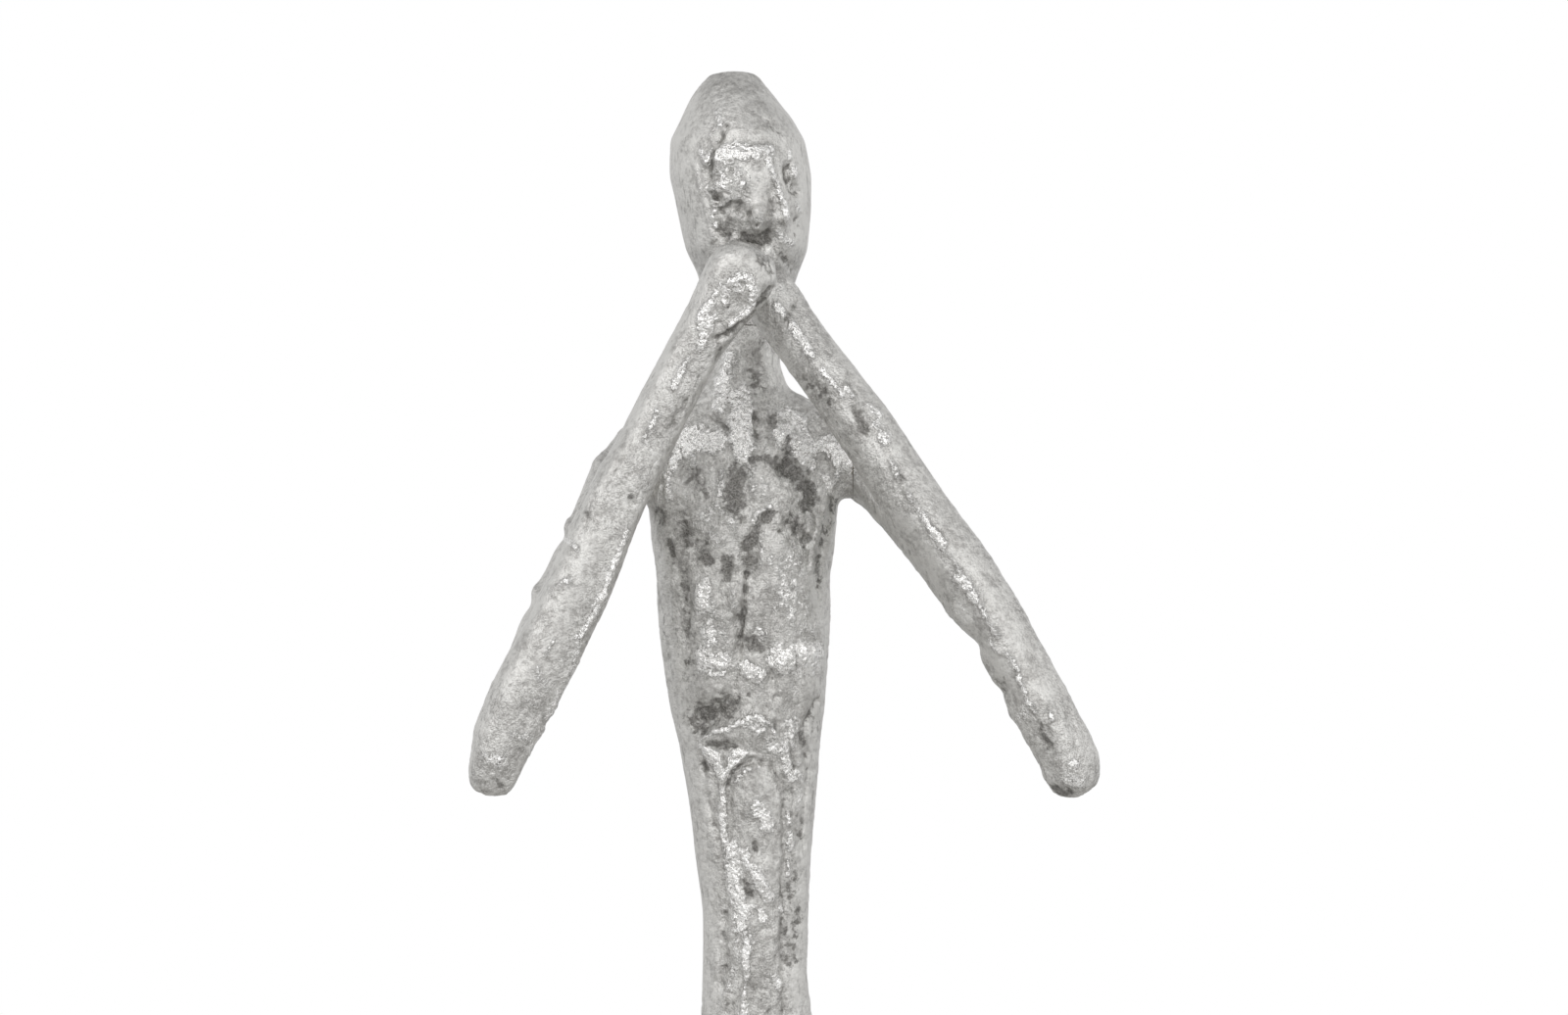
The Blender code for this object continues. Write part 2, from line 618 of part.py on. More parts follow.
# ---- the figure ---------------------------------------------------------------------------------

clear_scene()
figure = make_collection("display_figure")
cutters = make_collection("cutters")
leaf = make_material("silver_leaf", (0.50, 0.49, 0.48), 0.35, 0.9)
steel = make_material("brushed_steel", (0.36, 0.36, 0.37), 0.35, 1.0)
fixings = make_material("zinc_fixings", (0.55, 0.55, 0.55), 0.3, 1.0)
rubber = make_material("black_rubber", (0.02, 0.02, 0.02), 0.85, 0.0)
nylon = make_material("white_nylon", (0.75, 0.75, 0.72), 0.6, 0.0)

SIDES = {"right": -1.0, "left": 1.0}
FOOT_AXES = {
    "right": (HIP_CENTRE[0] - LEG[2][0], LEG[2][1]),
    "left": (HIP_CENTRE[0] + LEG[2][0], LEG[2][1] - STRIDE),
}

build_base()
build_lower_body()
build_torso()
build_head()
build_arm("right", SIDES["right"], RIGHT_UPPER_ARM, RIGHT_FOREARM)
build_arm("left", SIDES["left"], LEFT_UPPER_ARM, LEFT_FOREARM)

lift = axis_empty("figure_lift_axis", (0.0, 0.0, SOLE_Z))
hip = axis_empty("torso_turn_axis", (*HIP_CENTRE, HIP_Z), lift)
neck = axis_empty("head_turn_axis", (*NECK_CENTRE, NECK_Z), hip)
groups = {
    lift: ["lower_body_shell", "hip_stud", "hip_lower_plate", "right_foot_socket", "left_foot_socket"],
    hip: ["torso_shell", "hip_upper_plate", "neck_lower_plate", "neck_bush",
          "right_shoulder_plate", "left_shoulder_plate"],
    neck: ["head_shell", "head_plate", "neck_pin"],
}
for side, sign in SIDES.items():
    shoulder = axis_empty(f"{side}_arm_axis", (sign * SHOULDER_X, 0.0, SHOULDER_Z), hip)
    groups[shoulder] = [f"{side}_arm_shell", f"{side}_arm_plate", f"{side}_arm_peg"]
    ankle = axis_empty(f"{side}_ankle_screw_axis", (*FOOT_AXES[side], ANKLE_SCREW_Z), lift)
    groups[ankle] = [f"{side}_ankle_screw"]
for empty, names in groups.items():
    carry(empty, *[bpy.data.objects[name] for name in names])
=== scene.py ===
import json
import math
from itertools import product

import bmesh
import bpy
import numpy as np
from mathutils import Matrix, Vector


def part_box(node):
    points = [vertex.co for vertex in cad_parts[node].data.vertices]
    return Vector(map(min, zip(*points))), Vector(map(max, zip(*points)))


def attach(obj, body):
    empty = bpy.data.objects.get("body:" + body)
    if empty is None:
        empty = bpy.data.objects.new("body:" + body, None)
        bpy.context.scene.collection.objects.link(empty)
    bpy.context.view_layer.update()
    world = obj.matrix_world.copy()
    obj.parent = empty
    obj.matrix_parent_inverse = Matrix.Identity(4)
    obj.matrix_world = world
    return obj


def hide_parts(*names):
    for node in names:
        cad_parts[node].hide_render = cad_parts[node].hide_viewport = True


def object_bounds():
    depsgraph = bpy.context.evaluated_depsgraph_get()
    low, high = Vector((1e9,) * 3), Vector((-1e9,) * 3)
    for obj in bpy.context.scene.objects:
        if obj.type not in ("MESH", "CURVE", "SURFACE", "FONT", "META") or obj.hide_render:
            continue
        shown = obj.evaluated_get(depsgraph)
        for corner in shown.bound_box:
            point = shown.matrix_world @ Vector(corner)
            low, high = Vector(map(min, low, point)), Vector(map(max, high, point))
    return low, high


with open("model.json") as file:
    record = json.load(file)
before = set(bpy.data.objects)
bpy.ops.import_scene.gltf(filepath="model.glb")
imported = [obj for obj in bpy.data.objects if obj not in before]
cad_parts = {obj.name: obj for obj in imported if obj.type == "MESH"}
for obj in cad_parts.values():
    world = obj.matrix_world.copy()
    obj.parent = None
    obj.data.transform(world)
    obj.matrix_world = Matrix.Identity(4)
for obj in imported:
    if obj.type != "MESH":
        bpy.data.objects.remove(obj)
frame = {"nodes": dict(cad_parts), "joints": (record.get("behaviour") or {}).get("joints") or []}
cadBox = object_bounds()
cadNodes = frame["nodes"]
mm = 0.001
seamGap = 0.15 * mm  # each shell stops this far short of its seam


def linear(hexColour):
    # sRGB hex to the linear values that a shader takes
    channels = [int(hexColour[start:start + 2], 16) / 255 for start in (1, 3, 5)]
    return [c / 12.92 if c <= 0.04045 else ((c + 0.055) / 1.055) ** 2.4 for c in channels] + [1.0]


def addNode(tree, kind, settings=None, links=None):
    node = tree.nodes.new(kind)
    for name, value in (settings or {}).items():
        if name == "stops":
            for element, (place, colour) in zip(node.color_ramp.elements, value):
                element.position = place
                element.color = colour
        elif isinstance(name, str) and hasattr(node, name):
            setattr(node, name, value)
        else:
            node.inputs[name].default_value = value
    for name, source in (links or {}).items():
        tree.links.new(source, node.inputs[name])
    return node


def newMaterial(name):
    material = bpy.data.materials.new(name)
    material.use_nodes = True
    return material, material.node_tree, material.node_tree.nodes["Principled BSDF"]


# Silver-coloured leaf (aluminium) laid over modelled resin and rubbed back: a soft metal sheen with
# cloudy mottling, ragged dark places where the leaf is torn or tarnished, which along the sculpted grooves
# and hollows are painted shade as well, and crumpled bright ones dotted with painted glints. Flanks are
# painted lighter, a painted reflection of the bright walls beside the figure.
leafLook = {
    # near-white of the painted glints on rubbed leaf
    "glintWhite": "#FAF9F7",
    "light": "#E6E5E2",
    "dark": "#ACAAA7",
    # Dark of tarnished and torn leaf and of the flecks; along the sculpted grooves and hollows it is painted
    # shade
    "tarnishAndShade": "#6B6966",
    "worn": "#A4A29E",
    "cloudMm": 24.0,  # slow clouds in the leaf
    "mottleMm": 5.5,
    "speckMm": 1.8,  # finest specks, drawn a little coarse so that they show
    "fleckMm": 5.0,
    "fleckStretch": 0.16,
    "raggedMm": 7.0,
    "foilMm": 4.2,  # facets of crumpled foil
    # How much of the coarser and of the finer noise each of these takes
    "edge": (0.42, 0.22),  # ragged edges of the tarnish
    "shine": (0.30, 0.20),
    "tone": (0.46, 0.42, 0.60),  # mottle, clouds and specks
    "relief": (0.55, 0.42),  # mottle and specks as bumps
    "tarnishAndShadeFrom": (0.34, 0.70),  # where each starts and is full
    "burnishFrom": (0.28, 0.64),
    "fleckFrom": (0.40, 0.62),
    "toneFrom": (-0.75, 0.70),
    "paintedGlintsFrom": (-1.0, 0.25),
    "streakFrom": (-0.6, 1.0),
    "tornFrom": (-2.4, 0.4),
    "fleckDepth": 0.50,
    "flankPaintedLight": 0.60,  # flanks are painted lighter, a painted reflection of the bright walls beside them, and calm places are lighter; both are less gritty
    "calmLight": 0.06,
    "streak": 0.6,  # how much of the mottle is in the torn places' streaks
    "flankGrit": -0.55,
    "calmGrit": -0.6,
    "roughness": 0.45,
    "mottleRough": 0.07,
    "burnishRough": -0.19,
    "dullRough": 0.06,
    "crinkle": 2.4,
    "bumpStrength": 0.8,
    "bumpMm": 0.7,
}


def silverLeaf(look):
    material, tree, shader = newMaterial("silverLeafOnResin")
    place = addNode(tree, "ShaderNodeTexCoord").outputs["Object"]
    stretch = addNode(tree, "ShaderNodeMapping", {"Scale": (1, 1, look["fleckStretch"])}, {"Vector": place})
    foil = addNode(tree, "ShaderNodeTexVoronoi", {"Scale": 1000 / look["foilMm"]}, {"Vector": place})
    results = {"foil": foil.outputs["Distance"]}
    for name, detail in (("cloud", 3), ("mottle", 4), ("speck", 2), ("ragged", 5), ("fleck", 3)):
        source = stretch.outputs["Vector"] if name == "fleck" else place
        noise = addNode(tree, "ShaderNodeTexNoise",
                        {"Scale": 1000 / look[name + "Mm"], "Detail": detail, "Roughness": 0.6},
                        {"Vector": source})
        # Spread to about -1 to 1
        spread = addNode(tree, "ShaderNodeMapRange", {"From Min": 0.28, "From Max": 0.72, "To Min": -1.0},
                         {"Value": noise.outputs["Fac"]})
        results[name] = spread.outputs["Result"]
    for name in ("tarnishAndShade", "burnish", "flank", "calm"):
        field = addNode(tree, "ShaderNodeAttribute", {"attribute_name": name})
        results[name + "Field"] = field.outputs["Fac"]

    # Each step is its name, what it does and what it takes: earlier results, numbers or colours
    steps = [
        ("speckEdge", 'MULTIPLY', "speck", look["edge"][1]),
        ("edge", 'MULTIPLY_ADD', "ragged", look["edge"][0], "speckEdge"),
        # Tarnish, and along the strokes' sunken grooves and hollows painted shade
        ("tarnishAndShadeSum", 'ADD', "tarnishAndShadeField", "edge"),
        ("tarnishAndShade", "ramp", "tarnishAndShadeSum", *look["tarnishAndShadeFrom"]),
        ("speckShine", 'MULTIPLY', "speck", look["shine"][1]),
        ("shine", 'MULTIPLY_ADD', "mottle", look["shine"][0], "speckShine"),
        ("burnishSum", 'ADD', "burnishField", "shine"),
        ("burnish", "ramp", "burnishSum", *look["burnishFrom"]),
        ("fleckRamp", "ramp", "fleck", *look["fleckFrom"]),
        ("flecks", 'MULTIPLY', "fleckRamp", "flankField"),
        ("flankGrit", 'MULTIPLY_ADD', "flankField", look["flankGrit"], 1.0),
        ("calmGrit", 'MULTIPLY_ADD', "calmField", look["calmGrit"], 1.0),
        ("grit", 'MULTIPLY', "flankGrit", "calmGrit"),
        # colour
        ("cloudTone", 'MULTIPLY', "cloud", look["tone"][1]),
        ("mottleTone", 'MULTIPLY_ADD', "mottle", look["tone"][0], "cloudTone"),
        ("speckGrit", 'MULTIPLY', "speck", "grit"),
        ("speckTone", 'MULTIPLY_ADD', "speckGrit", look["tone"][2], "mottleTone"),
        # Flanks are painted lighter: a painted reflection of the bright side walls
        ("toneWithFlankPaintedLight", 'MULTIPLY_ADD', "flankField", look["flankPaintedLight"], "speckTone"),
        ("tone", 'MULTIPLY_ADD', "calmField", look["calmLight"], "toneWithFlankPaintedLight"),
        ("lightness", "ramp", "tone", *look["toneFrom"]),
        ("leafColour", "mix", "lightness", look["dark"], look["light"]),
        # Painted glints: white specks in the colour of the rubbed places, standing in for highlights on the
        # crumpled foil's facets
        ("paintedGlintsRamp", "ramp", "speck", *look["paintedGlintsFrom"]),
        ("paintedGlints", 'MULTIPLY', "burnish", "paintedGlintsRamp"),
        ("colourWithPaintedGlints", "mix", "paintedGlints", "leafColour", look["glintWhite"]),
        ("streaks", 'MULTIPLY_ADD', "mottle", look["streak"], "speck"),
        ("streakRamp", "ramp", "streaks", *look["streakFrom"]),
        ("wornColour", "mix", "streakRamp", look["tarnishAndShade"], look["worn"]),
        ("tornRamp", "ramp", "mottle", *look["tornFrom"]),
        ("torn", 'MULTIPLY', "tarnishAndShade", "tornRamp"),
        ("agedColour", "mix", "torn", "colourWithPaintedGlints", "wornColour"),
        ("fleckMix", 'MULTIPLY', "flecks", look["fleckDepth"]),
        ("colour", "mix", "fleckMix", "agedColour", look["tarnishAndShade"]),
        # roughness
        ("mottleRough", 'MULTIPLY_ADD', "mottle", look["mottleRough"], look["roughness"]),
        ("burnishRough", 'MULTIPLY_ADD', "burnish", look["burnishRough"], "mottleRough"),
        ("dull", 'ADD', "tarnishAndShade", "calmField"),
        ("rough", 'MULTIPLY_ADD', "dull", look["dullRough"], "burnishRough"),
        # bumps
        ("crumple", 'MULTIPLY', "burnish", look["crinkle"]),
        ("crinkle", 'MULTIPLY', "foil", "crumple"),
        ("gritGrain", 'MULTIPLY', "grit", look["relief"][1]),
        ("grain", 'MULTIPLY', "speck", "gritGrain"),
        ("mottleHeight", 'MULTIPLY_ADD', "mottle", look["relief"][0], "crinkle"),
        ("height", 'ADD', "mottleHeight", "grain"),
    ]
    # Node, its settings, the sockets it takes and the one it gives; any other work is a Math node's
    kinds = {
        "ramp": ("ShaderNodeMapRange", {"interpolation_type": 'SMOOTHSTEP'}, (0, 1, 2), 0),
        "mix": ("ShaderNodeMix", {"data_type": 'RGBA'}, (0, 6, 7), 2),
    }
    for name, work, *terms in steps:
        mathNode = ("ShaderNodeMath", {"operation": work}, (0, 1, 2), 0)
        kind, fixed, sockets, given = kinds.get(work, mathNode)
        settings = dict(fixed)
        links = {}
        for socket, term in zip(sockets, terms):
            if not isinstance(term, str):
                settings[socket] = term
            elif term.startswith("#"):
                settings[socket] = linear(term)
            else:
                links[socket] = results[term]
        results[name] = addNode(tree, kind, settings, links).outputs[given]

    bump = addNode(tree, "ShaderNodeBump",
                   {"Strength": look["bumpStrength"], "Distance": look["bumpMm"] * mm},
                   {"Height": results["height"]})
    tree.links.new(results["colour"], shader.inputs["Base Color"])
    tree.links.new(results["rough"], shader.inputs["Roughness"])
    tree.links.new(bump.outputs["Normal"], shader.inputs["Normal"])
    shader.inputs["Metallic"].default_value = 1.0
    return material


# Glass-fibre resin seen at the shells' open seams: pale, slightly yellow, ground flat.
def groundResin():
    material, tree, shader = newMaterial("groundGlassFibreResin")
    place = addNode(tree, "ShaderNodeTexCoord").outputs["Object"]
    fibre = addNode(tree, "ShaderNodeTexNoise", {"Scale": 1000 / 2.5, "Detail": 4.0}, {"Vector": place})
    stops = [(0.35, linear("#A79C82")), (0.7, linear("#C9C0A6"))]
    colour = addNode(tree, "ShaderNodeValToRGB", {"stops": stops}, {"Fac": fibre.outputs["Fac"]})
    tree.links.new(colour.outputs["Color"], shader.inputs["Base Color"])
    bump = addNode(tree, "ShaderNodeBump", {"Strength": 0.3, "Distance": 0.3 * mm},
                   {"Height": fibre.outputs["Fac"]})
    tree.links.new(bump.outputs["Normal"], shader.inputs["Normal"])
    shader.inputs["Roughness"].default_value = 0.65
    return material


# Mild steel plate, brushed one way and lacquered: fine lines along X and a few faint scuffs.
def brushedSteel(name, hexColour, grainMm, stretch):
    material, tree, shader = newMaterial(name)
    place = addNode(tree, "ShaderNodeTexCoord").outputs["Object"]
    lines = addNode(tree, "ShaderNodeMapping", {"Scale": stretch}, {"Vector": place})
    grain = addNode(tree, "ShaderNodeTexNoise", {"Scale": 1000 / grainMm, "Detail": 3.0},
                    {"Vector": lines.outputs["Vector"]})
    scuff = addNode(tree, "ShaderNodeTexNoise", {"Scale": 1000 / 40.0, "Detail": 6.0, "Roughness": 0.7},
                    {"Vector": place})
    dark = [0.75 * c for c in linear(hexColour)[:3]] + [1.0]
    colour = addNode(tree, "ShaderNodeValToRGB", {"stops": [(0.3, dark), (0.7, linear(hexColour))]},
                     {"Fac": grain.outputs["Fac"]})
    tree.links.new(colour.outputs["Color"], shader.inputs["Base Color"])
    rough = addNode(tree, "ShaderNodeMapRange", {"To Min": 0.26, "To Max": 0.44},
                    {"Value": scuff.outputs["Fac"]})
    tree.links.new(rough.outputs["Result"], shader.inputs["Roughness"])
    bump = addNode(tree, "ShaderNodeBump", {"Strength": 0.25, "Distance": 0.1 * mm},
                   {"Height": grain.outputs["Fac"]})
    tree.links.new(bump.outputs["Normal"], shader.inputs["Normal"])
    shader.inputs["Metallic"].default_value = 1.0
    return material


# Moulded rubber and nylon: matt, faintly mottled, with a fine moulded grain.
def mouldedPolymer(name, hexColour, roughness, grainMm):
    material, tree, shader = newMaterial(name)
    place = addNode(tree, "ShaderNodeTexCoord").outputs["Object"]
    grain = addNode(tree, "ShaderNodeTexNoise", {"Scale": 1000 / grainMm, "Detail": 3.0}, {"Vector": place})
    lighter = [min(1.0, 1.35 * c + 0.01) for c in linear(hexColour)[:3]] + [1.0]
    colour = addNode(tree, "ShaderNodeValToRGB", {"stops": [(0.3, linear(hexColour)), (0.75, lighter)]},
                     {"Fac": grain.outputs["Fac"]})
    tree.links.new(colour.outputs["Color"], shader.inputs["Base Color"])
    bump = addNode(tree, "ShaderNodeBump", {"Strength": 0.4, "Distance": 0.2 * mm},
                   {"Height": grain.outputs["Fac"]})
    tree.links.new(bump.outputs["Normal"], shader.inputs["Normal"])
    shader.inputs["Roughness"].default_value = roughness
    return material


leaf = silverLeaf(leafLook)
resin = groundResin()
plateSteel = brushedSteel("brushedPlateSteel", "#A2A2A3", 1.6, (0.03, 1.0, 1.0))
fittingSteel = brushedSteel("turnedFittingSteel", "#B4B4B6", 0.8, (1.0, 1.0, 0.08))
zinc = brushedSteel("brightZincPlate", "#C8CACC", 3.0, (1.0, 1.0, 1.0))
rubber = mouldedPolymer("mouldedBlackRubber", "#1B1B1C", 0.85, 1.5)
nylon = mouldedPolymer("turnedNylon", "#DAD8CF", 0.5, 2.0)
print("materials made")


# Forms: sections of each part of the body, in metres.
# A level section is x, y, z, half width, half depth and how square it is (2 is an ellipse).

bodyForms = {
    "torso": [
        (0.007, 0.000, 0.880, 0.059, 0.051, 2.3),
        (0.007, 0.000, 0.920, 0.0575, 0.050, 2.3),
        (0.007, 0.000, 0.943, 0.056, 0.049, 2.3),
        (0.006, 0.000, 0.983, 0.0535, 0.047, 2.4),
        (0.006, 0.000, 1.043, 0.0535, 0.047, 2.4),
        (0.005, 0.000, 1.083, 0.057, 0.048, 2.4),
        (0.004, 0.000, 1.123, 0.0605, 0.049, 2.4),
        (0.002, 0.000, 1.163, 0.066, 0.050, 2.4),
        (0.000, 0.000, 1.203, 0.072, 0.052, 2.4),
        (-0.002, -0.001, 1.243, 0.078, 0.054, 2.4),
        (-0.003, -0.002, 1.283, 0.083, 0.056, 2.4),
        (-0.004, -0.003, 1.323, 0.0865, 0.058, 2.4),
        (-0.006, -0.004, 1.383, 0.090, 0.060, 2.3),
        (-0.006, -0.004, 1.423, 0.095, 0.061, 2.3),
        (-0.006, -0.002, 1.470, 0.098, 0.060, 2.3),
        (-0.005, 0.000, 1.505, 0.096, 0.057, 2.2),
        (-0.005, 0.003, 1.528, 0.091, 0.054, 2.1),
        (-0.005, 0.006, 1.545, 0.080, 0.051, 2.0),
        (-0.005, 0.009, 1.560, 0.062, 0.048, 2.0),
        (-0.006, 0.012, 1.578, 0.045, 0.045, 2.0),
        (-0.005, 0.014, 1.600, 0.037, 0.042, 2.0),
        (-0.004, 0.014, 1.640, 0.036, 0.040, 2.0),
        (-0.004, 0.014, 1.665, 0.036, 0.040, 2.0),
    ],
    "head": [
        (-0.004, 0.014, 1.655, 0.030, 0.034, 2.0),
        (-0.004, 0.009, 1.668, 0.040, 0.050, 2.0),
        (-0.003, 0.003, 1.681, 0.047, 0.066, 2.1),
        (-0.002, 0.001, 1.694, 0.0505, 0.076, 2.2),
        (-0.003, 0.002, 1.717, 0.0615, 0.083, 2.3),
        (-0.0058, 0.006, 1.760, 0.0690, 0.091, 2.3),
        (-0.0094, 0.009, 1.794, 0.0730, 0.094, 2.2),
        (-0.0124, 0.010, 1.830, 0.0690, 0.091, 2.2),
        (-0.0132, 0.010, 1.853, 0.0570, 0.080, 2.1),
        (-0.0162, 0.010, 1.870, 0.0460, 0.067, 2.1),
        (-0.0175, 0.010, 1.886, 0.0345, 0.050, 2.0),
        (-0.0160, 0.010, 1.8985, 0.0235, 0.032, 2.0),
    ],
    "pelvis": [
        (0.007, 0.001, 0.836, 0.046, 0.036, 2.0),
        (0.007, 0.001, 0.852, 0.058, 0.049, 2.1),
        (0.007, 0.001, 0.880, 0.0605, 0.053, 2.2),
        (0.007, 0.000, 0.905, 0.058, 0.051, 2.3),
    ],
    # Legs: distance from the hip's middle, y, z, half width, half depth
    "leg": [
        (0.059, 0.013, 0.005, 0.023, 0.030, 2.0),
        (0.059, 0.013, 0.050, 0.0215, 0.029, 2.0),
        (0.059, 0.014, 0.085, 0.0205, 0.0255, 2.0),
        (0.059, 0.015, 0.120, 0.0210, 0.0265, 2.0),
        (0.059, 0.014, 0.180, 0.0235, 0.030, 2.1),
        (0.057, 0.013, 0.280, 0.028, 0.037, 2.1),
        (0.054, 0.009, 0.370, 0.0295, 0.039, 2.1),
        (0.051, 0.003, 0.440, 0.0275, 0.035, 2.2),
        (0.049, -0.001, 0.490, 0.0285, 0.037, 2.3),
        (0.048, 0.001, 0.530, 0.028, 0.037, 2.2),
        (0.045, 0.002, 0.600, 0.0305, 0.040, 2.2),
        (0.039, 0.002, 0.720, 0.033, 0.045, 2.2),
        (0.034, 0.001, 0.820, 0.034, 0.048, 2.2),
        (0.031, 0.000, 0.890, 0.030, 0.044, 2.2),
    ],
    # Feet: distance ahead of the ankle, height, half width, half height
    "foot": [
        (-0.040, 0.026, 0.013, 0.013),
        (-0.032, 0.028, 0.021, 0.022),
        (-0.010, 0.032, 0.0235, 0.028),
        (0.020, 0.030, 0.0265, 0.029),
        (0.050, 0.024, 0.031, 0.023),
        (0.090, 0.019, 0.0345, 0.017),
        (0.125, 0.016, 0.035, 0.0135),
        (0.150, 0.014, 0.029, 0.011),
        (0.165, 0.013, 0.018, 0.007),
    ],
    "hipX": 0.007,
    "footRise": 0.002,  # added to the height of every foot section
    "ankle": (0.059, 0.014),
    "stride": 0.028,
    "strideUnder": 0.235,
}

# Limb sections along each arm: x, y, z, half width seen from the front, half depth
armForms = {
    "right": {
        "upper": [
            (-0.060, 0.002, 1.503, 0.036, 0.036),
            (-0.090, 0.000, 1.506, 0.038, 0.037),
            (-0.114, -0.001, 1.508, 0.034, 0.036),
            (-0.134, -0.018, 1.486, 0.031, 0.034),
            (-0.150, -0.055, 1.440, 0.029, 0.032),
            (-0.175, -0.095, 1.385, 0.029, 0.031),
            (-0.203, -0.132, 1.325, 0.029, 0.030),
            (-0.229, -0.165, 1.255, 0.027, 0.029),
            (-0.243, -0.182, 1.208, 0.024, 0.026),
        ],
        "fore": [
            (-0.2465, -0.188, 1.200, 0.0255, 0.027),
            (-0.239, -0.187, 1.230, 0.030, 0.030),
            (-0.220, -0.182, 1.270, 0.0325, 0.031),
            (-0.194, -0.176, 1.319, 0.0330, 0.031),
            (-0.162, -0.168, 1.386, 0.0315, 0.030),
            (-0.130, -0.160, 1.463, 0.030, 0.029),
            (-0.092, -0.153, 1.535, 0.0265, 0.028),
            (-0.052, -0.150, 1.614, 0.0260, 0.027),
            (-0.030, -0.153, 1.648, 0.030, 0.028),
            (-0.009, -0.158, 1.680, 0.036, 0.029),
        ],
        "turn": 14,  # degrees that the forearm's flat side is turned
        "web": [
            (-0.036, 0.012, 1.574, 0.018, 0.026),
            (-0.064, 0.008, 1.548, 0.024, 0.031),
            (-0.088, 0.003, 1.524, 0.026, 0.034),
        ],
    },
    "left": {
        "upper": [
            (0.060, 0.002, 1.500, 0.036, 0.036),
            (0.088, 0.000, 1.502, 0.040, 0.037),
            (0.118, -0.001, 1.500, 0.038, 0.036),
            (0.138, -0.016, 1.479, 0.034, 0.034),
            (0.166, -0.045, 1.443, 0.031, 0.032),
            (0.196, -0.078, 1.404, 0.030, 0.031),
            (0.222, -0.105, 1.366, 0.030, 0.030),
            (0.252, -0.127, 1.325, 0.026, 0.029),
            (0.280, -0.144, 1.270, 0.026, 0.028),
            (0.309, -0.156, 1.210, 0.024, 0.026),
        ],
        "fore": [
            (0.317, -0.160, 1.199, 0.0260, 0.026),
            (0.311, -0.160, 1.216, 0.0260, 0.026),
            (0.291, -0.157, 1.252, 0.0265, 0.028),
            (0.270, -0.153, 1.290, 0.0275, 0.029),
            (0.240, -0.148, 1.347, 0.0280, 0.029),
            (0.203, -0.140, 1.405, 0.0285, 0.029),
            (0.161, -0.132, 1.463, 0.0275, 0.028),
            (0.123, -0.124, 1.521, 0.0270, 0.027),
            (0.081, -0.116, 1.580, 0.0262, 0.026),
            (0.052, -0.110, 1.620, 0.0260, 0.025),
            (0.027, -0.107, 1.657, 0.0280, 0.025),
        ],
        "turn": 38,
        "web": [
            (0.028, 0.012, 1.563, 0.016, 0.025),
            (0.061, 0.008, 1.545, 0.020, 0.030),
            (0.088, 0.003, 1.529, 0.026, 0.034),
        ],
    },
    "elbowEnd": 0.027,
    "handEnd": 0.035,
}


def loftRings(bm, rings, sides, squareness):
    # One closed form through rings; each ring is a unit circle's matrix
    loops = []
    for matrix, power in zip(rings, squareness):
        made = bmesh.ops.create_circle(bm, segments=sides, radius=1.0, matrix=Matrix.Identity(4))["verts"]
        for vert in made:
            reach = (abs(vert.co.x) ** power + abs(vert.co.y) ** power) ** (1 / power)
            vert.co = matrix @ (vert.co / reach)
        loops.append(list({edge for vert in made for edge in vert.link_edges}))
    for lower, upper in zip(loops, loops[1:]):
        bmesh.ops.bridge_loops(bm, edges=lower + upper)
    bmesh.ops.holes_fill(bm, edges=loops[0] + loops[-1], sides=sides)


def levelForm(bm, sections, sides=32):
    rings = []
    for x, y, z, halfWidth, halfDepth, _ in sections:
        rings.append(Matrix.Translation((x, y, z)) @ Matrix.Diagonal((halfWidth, halfDepth, 1, 1)))
    loftRings(bm, rings, sides, [section[5] for section in sections])


def limbForm(bm, sections, startEnd, endEnd, sides=24, power=2.25, turn=0):
    centres = [Vector(section[:3]) for section in sections]
    rings = []
    for index, (halfWidth, halfDepth) in enumerate(section[3:5] for section in sections):
        along = (centres[min(index + 1, len(centres) - 1)] - centres[max(index - 1, 0)]).normalized()
        across = Vector((0, 1, 0)).cross(along).normalized()
        turned = Matrix((across, along.cross(across), along)).transposed().to_4x4()
        turned = turned @ Matrix.Rotation(math.radians(turn), 4, 'Z')
        girth = Matrix.Diagonal((halfWidth, halfDepth, 1, 1))
        rings.append(Matrix.Translation(centres[index]) @ turned @ girth)
    rings = domed(rings[0], -startEnd)[::-1] + rings + domed(rings[-1], endEnd)
    loftRings(bm, rings, sides, [power] * len(rings))


def domed(ring, length):
    # Shrinking rings that round off a limb's end; no length leaves it square
    if not length:
        return []
    direction = ring.to_3x3().col[2].normalized()
    rings = []
    for degrees in (30, 60, 82):
        angle = math.radians(degrees)
        shrink = math.cos(angle) ** 0.6  # blunter than a ball
        shift = Matrix.Translation(direction * length * math.sin(angle))
        rings.append(shift @ ring @ Matrix.Diagonal((shrink, shrink, 1, 1)))
    return rings


def footForm(bm, forms, side):
    sign = -1 if side == "right" else 1
    x = forms["hipX"] + sign * forms["ankle"][0]
    y = forms["ankle"][1] - (forms["stride"] if side == "left" else 0)
    facing = Matrix.Rotation(math.radians(90), 4, 'X')
    rings = []
    for forward, height, halfWidth, halfHeight in forms["foot"]:
        place = Matrix.Translation((x, y - forward, height + forms["footRise"]))
        rings.append(place @ facing @ Matrix.Diagonal((halfWidth, halfHeight, 1, 1)))
    loftRings(bm, rings, 20, [2.2] * len(rings))


def legForm(bm, forms, side, above=0.0):
    sign = -1 if side == "right" else 1
    top = forms["leg"][-1][2]
    sections = []
    for offset, y, z, halfWidth, halfDepth, power in forms["leg"]:
        if z < above:
            continue
        step = forms["stride"] * min(1, (top - z) / (top - forms["strideUnder"])) if side == "left" else 0
        sections.append((forms["hipX"] + sign * offset, y - step, z, halfWidth, halfDepth, power))
    levelForm(bm, sections, 24)
